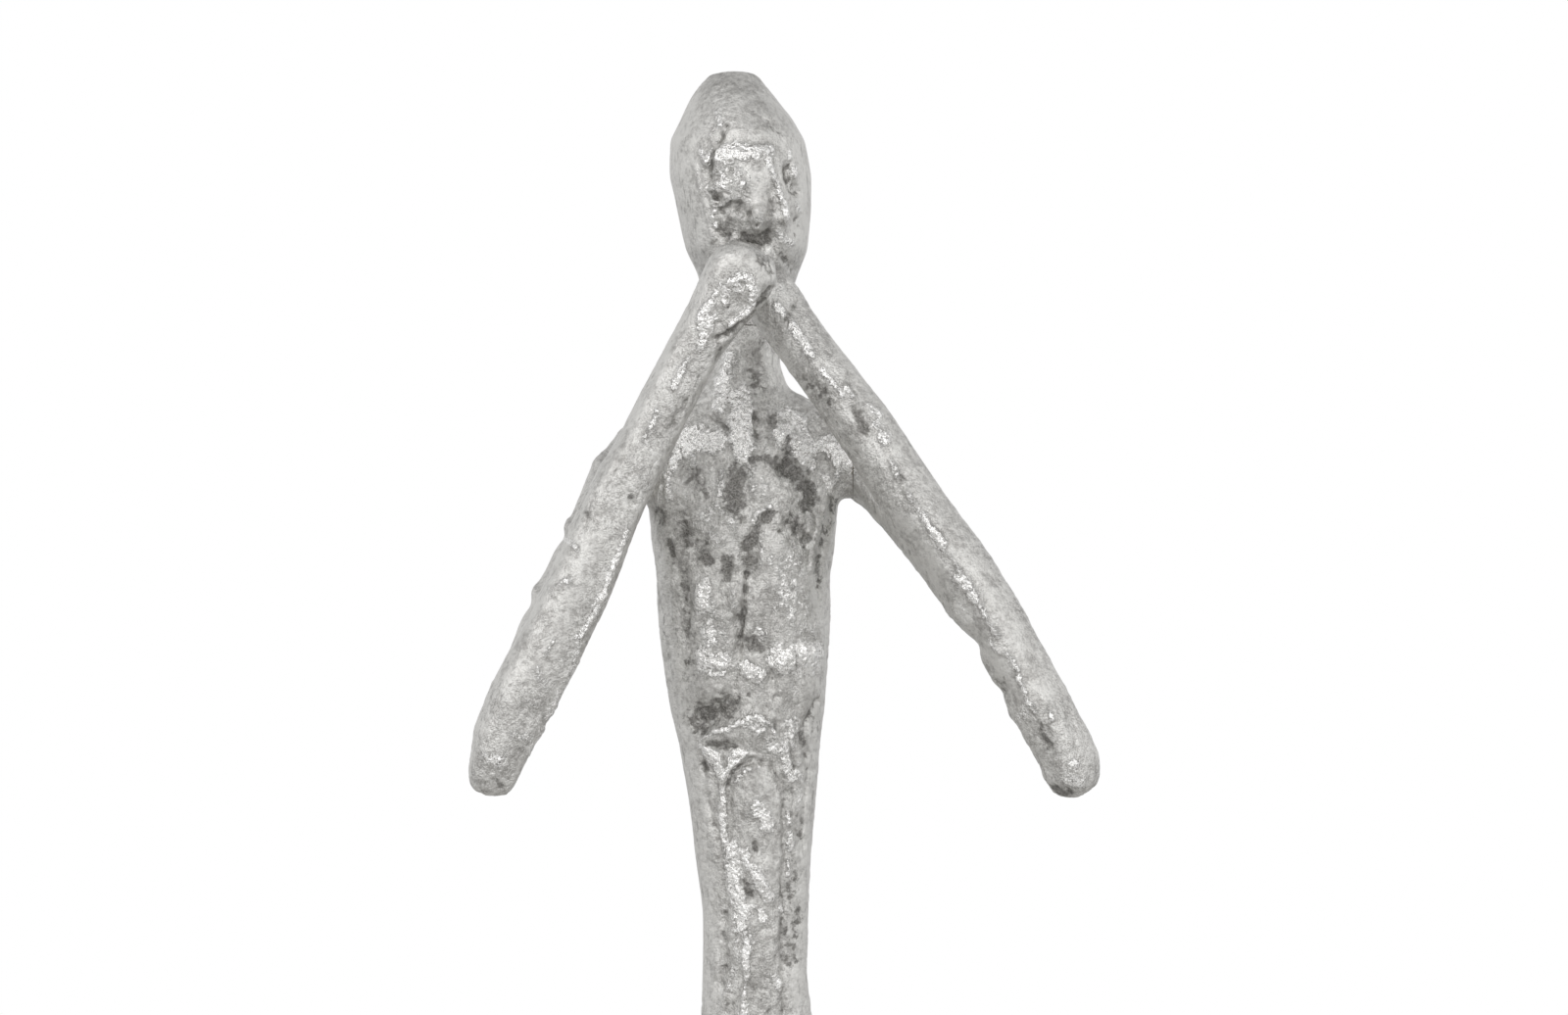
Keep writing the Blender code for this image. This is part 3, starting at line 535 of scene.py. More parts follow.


# The sculptor's strokes.
# Each stroke is its points (x and z in mm), its width and height in mm (down if negative) and its
# tone: 1 rubbed bright (smoother leaf that the shader dots with painted glints), -1 tarnished or torn; where
# the stroke sinks a groove or hollow, the -1 is painted shade as well. They lie on the side of the body that
# they name.

torsoStrokes = [
    # neck and collarbones
    ([(-20, 1607), (-28, 1580), (-33, 1556)], 8, 3.0, 0.9),
    ([(4, 1605), (10, 1572)], 15, -3.2, -0.5),
    ([(20, 1606), (26, 1570)], 5, 1.2, 0.15),
    ([(-74, 1524), (-56, 1529), (-36, 1522)], 12, 3.0, 1.3),
    ([(-66, 1508), (-52, 1494)], 9, 1.6, 0.75),
    ([(-74, 1504), (-83, 1486), (-81, 1466)], 4.5, 2.2, 0.95),
    ([(-66, 1502), (-73, 1478)], 2.4, -2.0, -0.4),
    ([(-58, 1500), (-63, 1484)], 2.4, 1.4, 0.7),
    ([(-48, 1503), (-52, 1489)], 2.2, -1.2, -0.4),
    ([(-90, 1476), (-92, 1458)], 2.4, 1.2, 0.6),
    ([(-38, 1549), (-27, 1541), (-21, 1535)], 3, -2.8, -0.7),
    ([(-40, 1520), (-36, 1500)], 3, -1.8, -0.3),
    ([(-8, 1566), (-6, 1535), (-6, 1506)], 10.5, 2.6, 1.4),
    ([(6, 1549), (7, 1524)], 4, -2.4, -0.7),
    ([(32, 1553), (52, 1542)], 8, 1.2, 0.8),
    ([(33, 1530), (46, 1514), (62, 1502)], 9.5, 3.0, 1.4),
    ([(60, 1518), (80, 1515), (102, 1500)], 10, 3.2, 1.3),
    ([(60, 1508), (78, 1500)], 2.2, -1.4, -0.5),
    ([(88, 1488), (94, 1478)], 7, 2.2, 0.6),
    ([(74, 1509), (80, 1492)], 6, -2.0, -0.55),
    ([(24, 1548), (22, 1524)], 6, -1.8, -0.55),
    ([(40, 1522), (38, 1500)], 6, -1.6, -0.8),
    # chest
    ([(4, 1503), (22, 1501), (42, 1494)], 8, -2.2, -0.95),
    ([(40, 1494), (54, 1486), (62, 1474), (62, 1460)], 11, -3.0, -1.1),
    ([(40, 1480), (48, 1474)], 9, -0.8, -0.55),
    ([(18, 1484), (26, 1476)], 6, -0.8, -0.4),
    ([(12, 1482), (16, 1466)], 7, 1.0, 0.5),
    ([(76, 1486), (84, 1470)], 7, 1.4, 0.7),
    ([(-36, 1456), (-52, 1440)], 9, 1.2, 0.5),
    ([(-40, 1432), (-30, 1420)], 8, 1.2, 0.55),
    ([(28, 1440), (34, 1418)], 6, 1.2, 0.45),
    ([(-16, 1490), (-13, 1464)], 15, -3.0, -1.05),
    ([(-18, 1450), (-8, 1444)], 8, -1.4, -0.7),
    ([(-56, 1486), (-46, 1470)], 11, -1.6, -0.72),
    ([(-28, 1494), (-30, 1468)], 4, 1.8, 0.65),
    ([(2, 1494), (5, 1466)], 5, 1.2, 0.45),
    ([(4, 1440), (12, 1451), (21, 1456)], 3.5, 1.8, 0.85),
    ([(-34, 1456), (-20, 1442), (-12, 1424)], 5, 1.6, 0.5),
    ([(19, 1447), (9, 1434)], 7.5, -2.0, -0.9),
    ([(2, 1418), (2, 1390)], 11, -3.4, -0.95),
    ([(12, 1428), (13, 1400), (6, 1382)], 3, 1.8, 0.45),
    ([(44, 1440), (55, 1424)], 11, -2.2, -0.9),
    ([(31, 1430)], 5, -1.2, -0.85),
    ([(-24, 1401), (-22, 1384)], 9, -2.0, -0.8),
    ([(-47, 1411), (-43, 1403)], 10, -1.6, -0.8),
    ([(-65, 1446), (-63, 1420)], 9, -1.8, -0.66),
    ([(-50, 1500), (56, 1496)], 30, 0.0, 0.16),
    ([(46, 1402), (52, 1345)], 20, 0.0, 0.22),
    ([(-80, 1418), (-77, 1400)], 4, -1.6, -0.75),
    ([(-94, 1454), (-91, 1444)], 7, -1.6, -0.6),
    ([(86, 1462), (77, 1430), (70, 1404), (73, 1376)], 5.5, -3.4, -0.66),
    ([(81, 1462), (68, 1420), (64, 1392)], 4, 2.2, 0.2),
    ([(50, 1398), (56, 1384)], 5, 1.0, 0.5),
    ([(52, 1338), (66, 1326)], 4, 1.2, 0.5),
    # belly
    ([(34, 1402), (45, 1340)], 22, 2.0, 0.46),
    ([(-3, 1388), (-5, 1350), (-9, 1316)], 2.4, -3.2, -0.85),
    ([(-10, 1340), (-14, 1300), (-19, 1262)], 5.5, -3.4, -0.32),
    ([(-46, 1372), (-46, 1357)], 9.5, 3.8, 0.95),
    ([(-16, 1372), (-15, 1356)], 5, 2.2, 0.5),
    ([(-50, 1340), (-32, 1341)], 3, -2.0, -0.3),
    ([(-41, 1335), (-39, 1324)], 8.5, 2.6, 0.75),
    ([(-47, 1306), (-38, 1298), (-29, 1301)], 9.5, 3.0, 1.0),
    ([(-44, 1296), (-30, 1290)], 2, -1.4, -0.4),
    ([(-40, 1287), (-26, 1289)], 2.6, 1.4, 0.95),
    # mid-dark band down the side of the belly: a shallow groove with painted shade
    ([(-67, 1392), (-64, 1340), (-62, 1283)], 8, -2.8, -0.5),
    ([(2, 1320), (12, 1314), (21, 1307)], 9, -3.0, -0.85),
    ([(8, 1334), (14, 1326)], 7, 1.0, 0.45),
    ([(34, 1301)], 12.5, 5.6, 1.5),
    ([(57, 1305)], 15, 5.8, 1.5),
    ([(47, 1308), (48, 1294)], 2.5, -2.5, -0.4),
    ([(42, 1272), (60, 1268)], 15, 3.0, 0.1),
    ([(-46, 1276), (-34, 1268)], 14, 3.2, 0.0),
    ([(-3, 1294), (9, 1285)], 9, 2.0, 0.85),
    ([(24, 1290), (28, 1262)], 4.5, -2.4, -0.35),
    # recess under the belly: sunk, with painted shade
    ([(-50, 1243), (-36, 1247), (-22, 1252)], 13, -5.5, -0.95),
    ([(-52, 1234), (-47, 1230)], 8, -3.0, -0.95),
    ([(0, 1267)], 4, -1.0, -0.6),
    # lobe and arch under the belly
    ([(-44, 1222), (-14, 1230), (16, 1232)], 13, 3.4, 0.1),
    ([(-49, 1214), (-47, 1223), (-36, 1230), (-15, 1235), (5, 1246),
      (22, 1238), (27, 1222)], 3.2, 2.2, 0.75),
    ([(-2, 1238), (12, 1232)], 8, 0.8, 0.6),
    ([(-40, 1216), (-26, 1214), (-10, 1213)], 5.5, -2.0, -0.85),
    ([(-42, 1209), (-32, 1197), (-25, 1183)], 6.5, 2.8, 1.15),
    ([(-10, 1208), (-18, 1196), (-24, 1184)], 6.5, 2.4, 1.05),
    ([(-26, 1204), (-24, 1196)], 2.2, -1.8, -0.6),
    ([(-27, 1184), (-27, 1150), (-26, 1118)], 4.2, 2.6, 1.05),
    ([(-22, 1174), (-16, 1190), (2, 1201), (20, 1197), (31, 1178)], 2.5, -3.0, -0.55),
    ([(20, 1216), (30, 1210)], 8, 1.6, 0.7),
    ([(24, 1236), (34, 1226)], 6, -1.6, -0.5),
    ([(-13, 1178), (-4, 1192), (10, 1194)], 2.8, 1.4, 0.6),
    ([(44, 1236), (38, 1205), (44, 1182)], 8, 1.8, 0.8),
    ([(40, 1222), (46, 1190)], 2.4, -1.6, -0.5),
    ([(69, 1260), (60, 1242), (55, 1226), (58, 1205)], 4, -2.8, -0.66),
    ([(70, 1262), (68, 1236), (66, 1190)], 3, -2.0, -0.4),
    ([(-48, 1195), (-44, 1190)], 5, -1.6, -0.8),
    # the long raised fold between the hips
    ([(8, 1172), (10, 1050), (7, 880)], 20, 3.8, 0.0),
    ([(34, 1184), (35, 1100), (33, 1000), (36, 900)], 3, -2.6, -0.4),
    ([(-20, 1168), (-21, 1124)], 2, -1.4, -0.3),
    ([(45, 1170), (45, 1110)], 8, -1.6, -0.5),
    ([(44, 1098), (43, 1040), (40, 990)], 8, -1.8, -0.54),
    ([(-24, 1000), (-20, 950)], 8, -0.8, -0.4),
    ([(18, 975), (16, 950)], 9, -0.8, -0.42),
    ([(40, 1150), (41, 1136)], 3, 1.4, 0.85),
    ([(42, 1124), (43, 1110)], 3.4, 1.6, 0.95),
    ([(40, 1098), (41, 1084)], 3, 1.4, 0.75),
    ([(53, 1185), (50, 1150)], 4, 1.8, 0.5),
    ([(61, 1190), (56, 1150), (54, 1105)], 2.6, -2.0, -0.5),
    ([(-48, 1196), (-44, 1160), (-30, 1114), (-24, 1060), (-29, 970)], 4, -2.2, -0.38),
    ([(8, 1152), (18, 1134)], 9, 1.4, 0.75),
    ([(-10, 1146)], 5, 1.6, 0.1),
    ([(4, 1118), (6, 1110)], 3.4, -2.6, -0.8),
    ([(-6, 1104), (8, 1082), (19, 1062)], 5.5, 2.8, 1.15),
    ([(12, 1080), (22, 1060)], 5, 2.0, 0.9),
    ([(-18, 1110), (-15, 1080), (-8, 1050), (-6, 1030)], 9.5, 2.8, 1.05),
    ([(-20, 1096), (-17, 1070)], 2, -1.4, -0.4),
    ([(-10, 1090), (-8, 1070)], 1.8, -1.2, -0.4),
    ([(-4, 1076), (2, 1064)], 4.5, -1.8, -0.75),
    ([(10, 1052), (14, 1040)], 6, 1.8, 0.65),
    ([(-6, 1030), (-2, 1010), (-4, 995), (-2, 980)], 3.6, 2.8, 1.05),
    ([(-4, 975), (-7, 950), (-6, 905)], 2.4, 2.4, 0.85),
    ([(-15, 1010), (-10, 1024)], 3, 1.4, 0.7),
    ([(0, 1012), (-10, 1000)], 6, 1.0, 0.6),
    ([(-16, 990), (-20, 970)], 4, 1.4, 0.6),
    ([(24, 982), (30, 970)], 5, 2.0, 0.8),
    ([(32, 1052), (33, 1048)], 3, 1.4, 0.9),
    ([(2, 976), (12, 960)], 8, -1.0, -0.45),
    ([(52, 1050), (50, 1035)], 4, -1.0, -0.7),
    ([(16, 1020), (14, 995)], 9, 1.2, 0.1),
]

faceStrokes = [
    ([(-37, 1799), (-30, 1807), (-16, 1809), (-4, 1807)], 10, 3.8, 0.95),
    ([(4, 1812), (18, 1812)], 6, 2.8, 0.85),
    ([(7, 1804)], 5, 2.0, 0.95),
    ([(-28, 1788), (-14, 1792)], 4, -1.2, 0.5),
    ([(-36, 1783), (-26, 1778), (-14, 1783)], 1.8, 1.6, 0.8),
    ([(-34, 1768), (-22, 1773), (-12, 1767)], 1.8, 1.6, 0.75),
    ([(-31, 1776), (-22, 1769)], 1.7, -1.6, -0.5),
    ([(-18, 1792), (-10, 1784), (-4, 1786)], 1.8, -1.6, -0.5),
    ([(-28, 1762), (-18, 1765), (-8, 1761)], 1.6, 1.3, 0.7),
    ([(-22, 1757), (-14, 1750)], 1.6, 1.0, 0.5),
    ([(6, 1795), (18, 1800)], 4, -1.8, -0.55),
    ([(-4, 1860), (8, 1834)], 22, 1.0, -0.05),
    ([(18, 1802), (26, 1778), (34, 1755), (33, 1744)], 4.2, 4.6, 0.75),
    ([(33, 1754), (34, 1748)], 4, 2.0, 0.9),
    ([(6, 1790), (12, 1768), (14, 1748)], 18, 4.6, 0.0),
    ([(2, 1783), (11, 1777)], 8, 0.8, 0.2),
    ([(20, 1770), (22, 1752)], 4.5, -2.4, -0.42),
    ([(2, 1752), (4, 1744)], 5, 1.6, 0.3),
    ([(8, 1750), (8, 1737)], 7, 7.4, 0.4),
    # nostril: sunk, with painted shade in its hole
    ([(6.5, 1736.5)], 2.2, -2.6, -1.0),
    ([(-2, 1748), (-3, 1742)], 3.4, -1.8, -0.5),
    # under the nose, over the fist: a groove with painted shade
    ([(-4, 1724), (10, 1722), (20, 1723)], 8, -4.8, -1.0),
    ([(20, 1730), (22, 1722)], 5, -3.0, -0.95),
    ([(-24, 1733), (-10, 1729)], 6.5, -2.0, -0.6),
    ([(22, 1748), (24, 1734)], 5, -2.0, -0.55),
    ([(-32, 1738), (-26, 1727)], 6, -2.4, -0.66),
    ([(-12, 1718), (16, 1714)], 5, -3.0, -0.4),
    ([(-22, 1724), (-14, 1718)], 5, -2.4, -0.6),
    ([(-24, 1742), (-14, 1738)], 2.2, 1.2, 0.35),
    ([(-18, 1722), (-12, 1726)], 1.6, 0.8, 0.4),
    # eye hollows: sunk, with painted shade
    ([(-38, 1794), (-35, 1784)], 6.5, -4.4, -0.75),
    ([(-45, 1777), (-37, 1783)], 4, -1.6, -0.6),
    ([(39, 1797), (40, 1786), (46, 1774)], 5.5, -4.6, -0.75),
    ([(44.5, 1799), (46.5, 1787)], 1.8, 2.4, 0.75),
    ([(41, 1813), (40, 1806)], 2.4, 1.0, 0.7),
    ([(48, 1760), (50, 1755)], 3, 1.0, 0.7),
    ([(-43, 1776), (-34, 1773)], 8, 3.2, 0.5),
    ([(-30, 1789), (-24, 1774), (-12, 1768)], 9, 2.8, 0.55),
    ([(-12, 1790), (-6, 1778)], 7, 1.6, 0.6),
    ([(-33, 1768), (-30, 1763)], 4.5, -2.6, -0.75),
    ([(-34, 1757), (-20, 1760), (-10, 1765)], 2.8, 2.4, 0.8),
    ([(-30, 1752), (-14, 1755)], 8, -2.0, -0.56),
    ([(-8, 1758), (-2, 1750)], 4.5, -2.6, -0.7),
    ([(-18, 1747), (-6, 1744)], 6, 2.0, 0.2),
    ([(-33, 1757), (-36, 1747), (-34, 1737)], 2.8, 2.0, 0.7),
    ([(-23, 1743), (-15, 1738)], 4, -1.8, -0.4),
    ([(-22, 1838), (-27, 1824), (-33, 1812), (-38, 1796)], 2.6, -2.8, -0.75),
    ([(-31, 1848), (-27, 1838)], 7, 1.4, 0.45),
    ([(-37, 1826), (-34, 1818)], 5, 1.6, 0.3),
    ([(-47, 1812), (-43, 1800)], 4, 1.6, 0.6),
    ([(-55, 1799), (-48, 1772), (-40, 1744), (-36, 1724)], 2.6, 1.6, 0.15),
    ([(18, 1842), (32, 1832)], 5, -0.8, -0.35),
    ([(33, 1726), (40, 1722)], 5, 1.8, 0.6),
    ([(30, 1712), (42, 1698)], 5, -1.8, -0.55),
    ([(46, 1745), (47, 1730)], 4, -1.4, -0.4),
    ([(-62, 1820), (-60, 1790)], 7, 0.8, 0.0),
    ([(-54, 1838), (-48, 1826)], 6, -0.7, -0.3),
]

# Places rubbed smooth: their middle lines and widths in mm
torsoCalm = [
    ([(28, 1408), (46, 1380), (50, 1330)], 21),
    ([(-48, 1278), (-34, 1266)], 13),
    ([(-68, 1300), (-62, 1200), (-50, 1080), (-46, 960)], 13),
    ([(62, 1300), (60, 1200), (52, 1080), (48, 960)], 9),
    ([(6, 1184), (14, 1166), (26, 1150)], 12),
    ([(24, 1120), (24, 1080)], 8),
    ([(-62, 1560), (-45, 1585)], 15),
    ([(52, 1560), (34, 1590)], 12),
    ([(10, 1487), (16, 1470)], 8),
]
faceCalm = [
    ([(-12, 1885), (-4, 1855), (12, 1840)], 30),
    ([(30, 1880), (46, 1835), (52, 1815)], 18),
    ([(-16, 1834), (16, 1830)], 10),
    ([(-45, 1870), (-65, 1830), (-66, 1780), (-58, 1720)], 18),
    ([(36, 1800), (40, 1755), (48, 1730)], 8),
    ([(8, 1788), (10, 1758)], 9),
    ([(56, 1790), (54, 1720)], 10),
]
armCalm = {
    "right": [
        ([(-180, 1430), (-208, 1365), (-232, 1300)], 16),
        ([(-60, 1640), (-86, 1590), (-118, 1530), (-140, 1480)], 9),
        ([(-30, 1692), (-4, 1700), (14, 1692)], 11),
        ([(18, 1682), (12, 1668)], 6),
        ([(-150, 1420), (-176, 1350), (-206, 1290)], 12),
    ],
    "left": [
        ([(80, 1630), (125, 1560), (170, 1490), (225, 1400), (290, 1280)], 13),
        ([(150, 1440), (190, 1385)], 12),
        ([(220, 1350), (265, 1265)], 9),
    ],
}

armStrokes = {
    "right": [
        ([(-117, 1432), (-131, 1396), (-142, 1366)], 3.0, 2.6, 1.0),
        ([(-141, 1370), (-152, 1346), (-164, 1328)], 3.8, 2.8, 1.1),
        ([(-163, 1322), (-168, 1300), (-182, 1276), (-190, 1256)], 3.0, 2.2, 0.6),
        ([(-188, 1262), (-194, 1250)], 4, 1.6, 0.85),
        ([(-200, 1240), (-212, 1216)], 3.0, 1.8, 0.6),
        ([(-196, 1312), (-186, 1330)], 2.4, 1.0, 0.5),
        ([(-212, 1268), (-202, 1262)], 3, 0.9, 0.55),
        ([(-226, 1236), (-214, 1232)], 5, 1.0, 0.6),
        ([(-160, 1452), (-150, 1440)], 3, -1.2, -0.45),
        ([(-116, 1470), (-112, 1458)], 3, -1.6, -0.55),
        ([(-189, 1446), (-181, 1438)], 7, 3.2, 0.2),
        ([(-221, 1381), (-213, 1372)], 7, 3.6, 0.35),
        ([(-187, 1427)], 5, -1.8, -0.3),
        ([(-223, 1360)], 6, -1.8, -0.3),
        ([(-178, 1423), (-165, 1416)], 4, 1.2, 0.6),
        ([(-190, 1375), (-172, 1386)], 4, 1.2, 0.5),
        ([(-205, 1300), (-198, 1285)], 5, 1.0, 0.5),
        ([(-21, 1654), (-20, 1670), (-10, 1681), (1, 1677), (5, 1662),
          (4, 1650), (-6, 1640), (-17, 1633)], 3.8, 2.8, 1.1),
        ([(-25, 1673), (-34, 1660)], 2.6, 1.2, 0.75),
        ([(-13, 1674), (-10, 1667)], 5, 1.4, 1.0),
        ([(-12, 1655), (-6, 1651)], 5, -2.0, -0.3),
        ([(-20, 1668), (-19, 1650)], 2.2, -1.8, -0.5),
        ([(-36, 1655), (-44, 1646), (-46, 1632)], 4, 2.0, 0.95),
        ([(-36, 1640), (-40, 1625), (-46, 1612)], 4.5, 2.0, 0.95),
        # groove between the wrist and the chest: sunk, with painted shade
        ([(22, 1669), (12, 1651), (2, 1638), (-16, 1628), (-30, 1618)], 3.6, -3.2, -0.75),
        ([(-30, 1618), (-26, 1600)], 6, -1.6, -0.5),
        ([(34, 1676), (40, 1668)], 5, -2.4, -0.85),
        ([(14, 1697), (22, 1686)], 6, -1.2, -0.7),
        ([(-60, 1600), (-72, 1572)], 4, 1.6, 0.75),
        ([(-88, 1548), (-100, 1520)], 5, 1.3, 0.65),
        ([(-60, 1560), (-74, 1535)], 4, -1.6, -0.5),
        ([(-104, 1490), (-98, 1476)], 6, 1.3, 0.5),
        ([(-126, 1500), (-140, 1476)], 3, -1.4, -0.4),
        ([(-250, 1215), (-236, 1208)], 8, 1.5, 0.5),
        ([(-252, 1190), (-240, 1186)], 6, -1.0, -0.5),
    ],
    "left": [
        ([(96, 1574), (118, 1534)], 3.4, 2.2, 0.6),
        ([(124, 1536), (136, 1520)], 6, 1.6, 0.7),
        ([(140, 1500), (152, 1476), (166, 1452)], 3.6, 2.4, 0.6),
        ([(150, 1484), (150, 1470)], 4, -1.6, -0.5),
        ([(172, 1446), (180, 1432), (192, 1420)], 4.4, 2.4, 0.75),
        ([(194, 1412), (206, 1394)], 3.4, 2.0, 0.5),
        ([(206, 1386), (222, 1366)], 5.5, 2.4, 0.85),
        ([(226, 1362), (234, 1344), (244, 1330)], 2.8, 2.4, 0.5),
        ([(240, 1336), (236, 1322), (246, 1314)], 3.6, 1.8, 0.5),
        ([(252, 1312), (262, 1298)], 3.4, 2.0, 0.55),
        ([(262, 1290), (272, 1268), (280, 1256)], 3.2, 2.4, 0.7),
        ([(272, 1264), (266, 1250)], 5, 1.2, 0.6),
        ([(292, 1262), (296, 1248)], 3, 1.0, 0.5),
        ([(184, 1426), (192, 1413)], 4.5, 1.4, 0.8),
        ([(209, 1381), (217, 1370)], 5, 1.4, 0.9),
        ([(28, 1654), (50, 1626), (62, 1605)], 5, 2.2, 0.8),
        ([(72, 1592), (92, 1566)], 4, 1.6, 0.75),
        ([(104, 1551), (117, 1530)], 6, -2.2, -0.8),
        ([(118, 1556), (128, 1546)], 4, 1.2, 0.6),
        ([(60, 1578), (80, 1560)], 7, -1.2, -0.6),
        ([(38, 1640), (46, 1655)], 6, -1.4, -0.6),
        ([(250, 1276), (246, 1284)], 6, -1.8, -0.5),
        ([(316, 1205)], 5, 1.2, 1.0),
        ([(310, 1190), (324, 1187)], 5, 1.2, 0.9),
        ([(300, 1180), (312, 1176)], 5, -1.2, -0.8),
        ([(285, 1240), (292, 1222)], 6, -1.2, -0.6),
    ],
}

# Lumps and notches that show on a limb's outline: centre x and z, reach in mm, rise in mm
armKnobs = {
    "right": [
        (-189, 1444, 8, 2.5), (-190, 1424, 8, -2.0), (-218, 1381, 8, 3.0), (-222, 1360, 8, -2.2),
        (-150, 1500, 9, 2.0), (-206, 1238, 8, 1.6), (-205, 1256, 7, -1.6),
    ],
    "left": [
        (205, 1352, 9, 3.5), (215, 1342, 7, 3.5), (222, 1318, 10, -5.0), (244, 1272, 8, -2.6),
        (256, 1250, 8, 3.0), (340, 1215, 7, 1.2), (345, 1195, 7, -1.4), (285, 1190, 7, 1.2),
    ],
}

backStrokes = [
    ([(-4, 1600), (-5, 1400), (2, 1180), (7, 900)], 8, -3.4, -0.3),
    ([(-60, 1500), (-42, 1432)], 22, 3.2, 0.1),
    ([(50, 1500), (34, 1432)], 22, 3.2, 0.1),
    ([(-32, 1420), (-46, 1400)], 6, -1.6, -0.7),
    ([(26, 1424), (40, 1402)], 6, -1.6, -0.7),
    ([(-20, 1300), (-16, 1120)], 13, 2.0, 0.2),
    ([(22, 1300), (20, 1120)], 13, 2.0, 0.2),
    ([(-18, 905), (-20, 870)], 22, 5.0, 0.2),
    ([(32, 905), (34, 870)], 22, 5.0, 0.2),
    ([(-40, 1370), (-46, 1340)], 10, -1.0, -0.9),
    ([(36, 1330), (30, 1290)], 11, -1.0, -0.9),
    ([(-10, 1240), (6, 1225)], 9, -1.0, -0.9),
    ([(-30, 1200), (-34, 1160)], 7, 1.4, 0.8),
    ([(40, 1450), (50, 1400)], 8, 1.4, 0.8),
    ([(-44, 400), (-48, 300)], 17, 3.5, 0.2),
    ([(58, 400), (62, 300)], 17, 3.5, 0.2),
    ([(-36, 510), (-38, 480)], 10, -3.0, -0.5),
    ([(50, 510), (52, 480)], 10, -3.0, -0.5),
    ([(-52, 150), (-52, 60)], 6, 2.0, 0.5),
    ([(66, 150), (66, 60)], 6, 2.0, 0.5),
    ([(-10, 1820), (-6, 1740)], 26, 1.5, 0.1),
    ([(-4, 1690), (-4, 1650)], 14, -1.6, -0.4),
]

legStrokes = [
    ([(-40, 500), (-41, 482)], 15, 3.4, 0.6),
    ([(54, 500), (55, 482)], 15, 3.4, 0.6),
    ([(-50, 520), (-30, 524)], 5, -1.8, -0.6),
    ([(44, 520), (66, 524)], 5, -1.8, -0.6),
    ([(-48, 455), (-34, 452)], 6, -1.8, -0.5),
    ([(48, 455), (64, 452)], 6, -1.8, -0.5),
    ([(-45, 430), (-49, 300), (-51, 140)], 4, 2.4, 0.8),
    ([(59, 430), (62, 300), (64, 140)], 4, 2.4, 0.8),
    ([(-30, 760), (-38, 600)], 14, 2.2, 0.3),
    ([(46, 760), (52, 600)], 14, 2.2, 0.3),
    ([(-18, 700), (-24, 640)], 7, -1.2, -0.8),
    ([(60, 740), (64, 690)], 7, -1.2, -0.8),
    ([(7, 880), (7, 842)], 7, -3.0, -0.7),
    ([(-20, 820), (-26, 780)], 5, 1.8, 0.8),
    ([(36, 810), (40, 770)], 5, 1.8, 0.8),
    ([(-42, 350), (-40, 320)], 8, -1.0, -0.8),
    ([(48, 250), (52, 220)], 8, -1.0, -0.8),
]


def latticeNoise(points, seed):
    # Smooth noise from -1 to 1 on a hashed lattice
    cell = np.floor(points).astype(np.int64)
    part = points - cell
    part = part * part * (3 - 2 * part)
    total = np.zeros(len(points))
    for offset in product((0, 1), repeat=3):
        corner = hashed(cell + offset, seed)
        weight = np.prod(np.where(offset, part, 1 - part), axis=1)
        total += corner * weight
    return total


def hashed(cell, seed):
    key = cell @ np.array([73856093, 19349663, 83492791]) + seed * 1013904223
    key = ((key ^ (key >> 13)) * 1274126177) & 0x7FFFFFFF
    return ((key ^ (key >> 15)) & 0xFFFF) / 32767.5 - 1.0


def fractal(points, sizeMm, seed, octaves=3, stretch=(1.0, 1.0, 1.0)):
    # Each octave is turned and shifted, so that the lattice doesn't show
    turn = np.array(Matrix.Rotation(0.9, 3, Vector((1, 2, 3))))
    place = points * stretch / (sizeMm * mm)
    total = np.zeros(len(points))
    strength = 1.0
    for octave in range(octaves):
        place = place @ turn.T + 11.3
        total += strength * latticeNoise(place, seed + octave)
        place = place * 2.03
        strength *= 0.5
    return total


def pellets(points, sizeMm, seed):
    # How far a point is from the crease between the two pellets of clay nearest to it
    place = points / (sizeMm * mm)
    cell = np.floor(place).astype(np.int64)
    nearest = np.full(len(points), 9.0)
    second = np.full(len(points), 9.0)
    for offset in product((-1, 0, 1), repeat=3):
        lump = cell + offset
        centre = lump + 0.5 + 0.42 * np.stack([hashed(lump, seed + axis) for axis in range(3)], axis=1)
        gap = np.linalg.norm(place - centre, axis=1)
        second = np.minimum(second, np.maximum(nearest, gap))
        nearest = np.minimum(nearest, gap)
    return second - nearest


def strokeGap(points, line):
    # Distance in mm from a stroke's middle line; points are x and z in mm
    best = np.full(len(points), 1e9)
    pairs = list(zip(line, line[1:])) or [(line[0], line[0])]
    for start, end in pairs:
        start = np.array(start)
        span = np.array(end) - start
        share = np.clip((points - start) @ span / max(span @ span, 1e-12), 0, 1)
        best = np.minimum(best, np.linalg.norm(points - start - share[:, None] * span, axis=1))
    return best


def smoothStep(values, low, high):
    share = np.clip((values - low) / (high - low), 0, 1)
    return share * share * (3 - 2 * share)


surface = {
    "broad": (46, 1.6),  # size and height in mm
    "ridge": (22, 2.6),
    "slab": (26, 1.3),
    "pellet": (12, 1.0),
    "fine": (6.5, 0.70),
    "crinkle": (4.6, 1.0),  # crumpled leaf on the bright strokes
    "wander": (9, 1.1),  # how far strokes leave their lines
    "uneven": (14, 0.22),  # how much their width varies
    "broken": (9, 0.40),  # and their tone
    "flank": 0.4,  # relief left on the flanks
    "calm": 0.25,  # and in the smoothed places
    "patches": (17, 0.5),  # chance patches of tarnish and shine, size in mm and strength
    "tall": (1, 1, 0.45),  # lumps run up and down the figure
    "slabStep": (0.28, 0.38),
    "creaseWidth": 0.14,  # in pellet sizes
    "clean": (0.10, 0.05),  # how rare the patches of tarnish and of shine are
    "seed": 7,
}


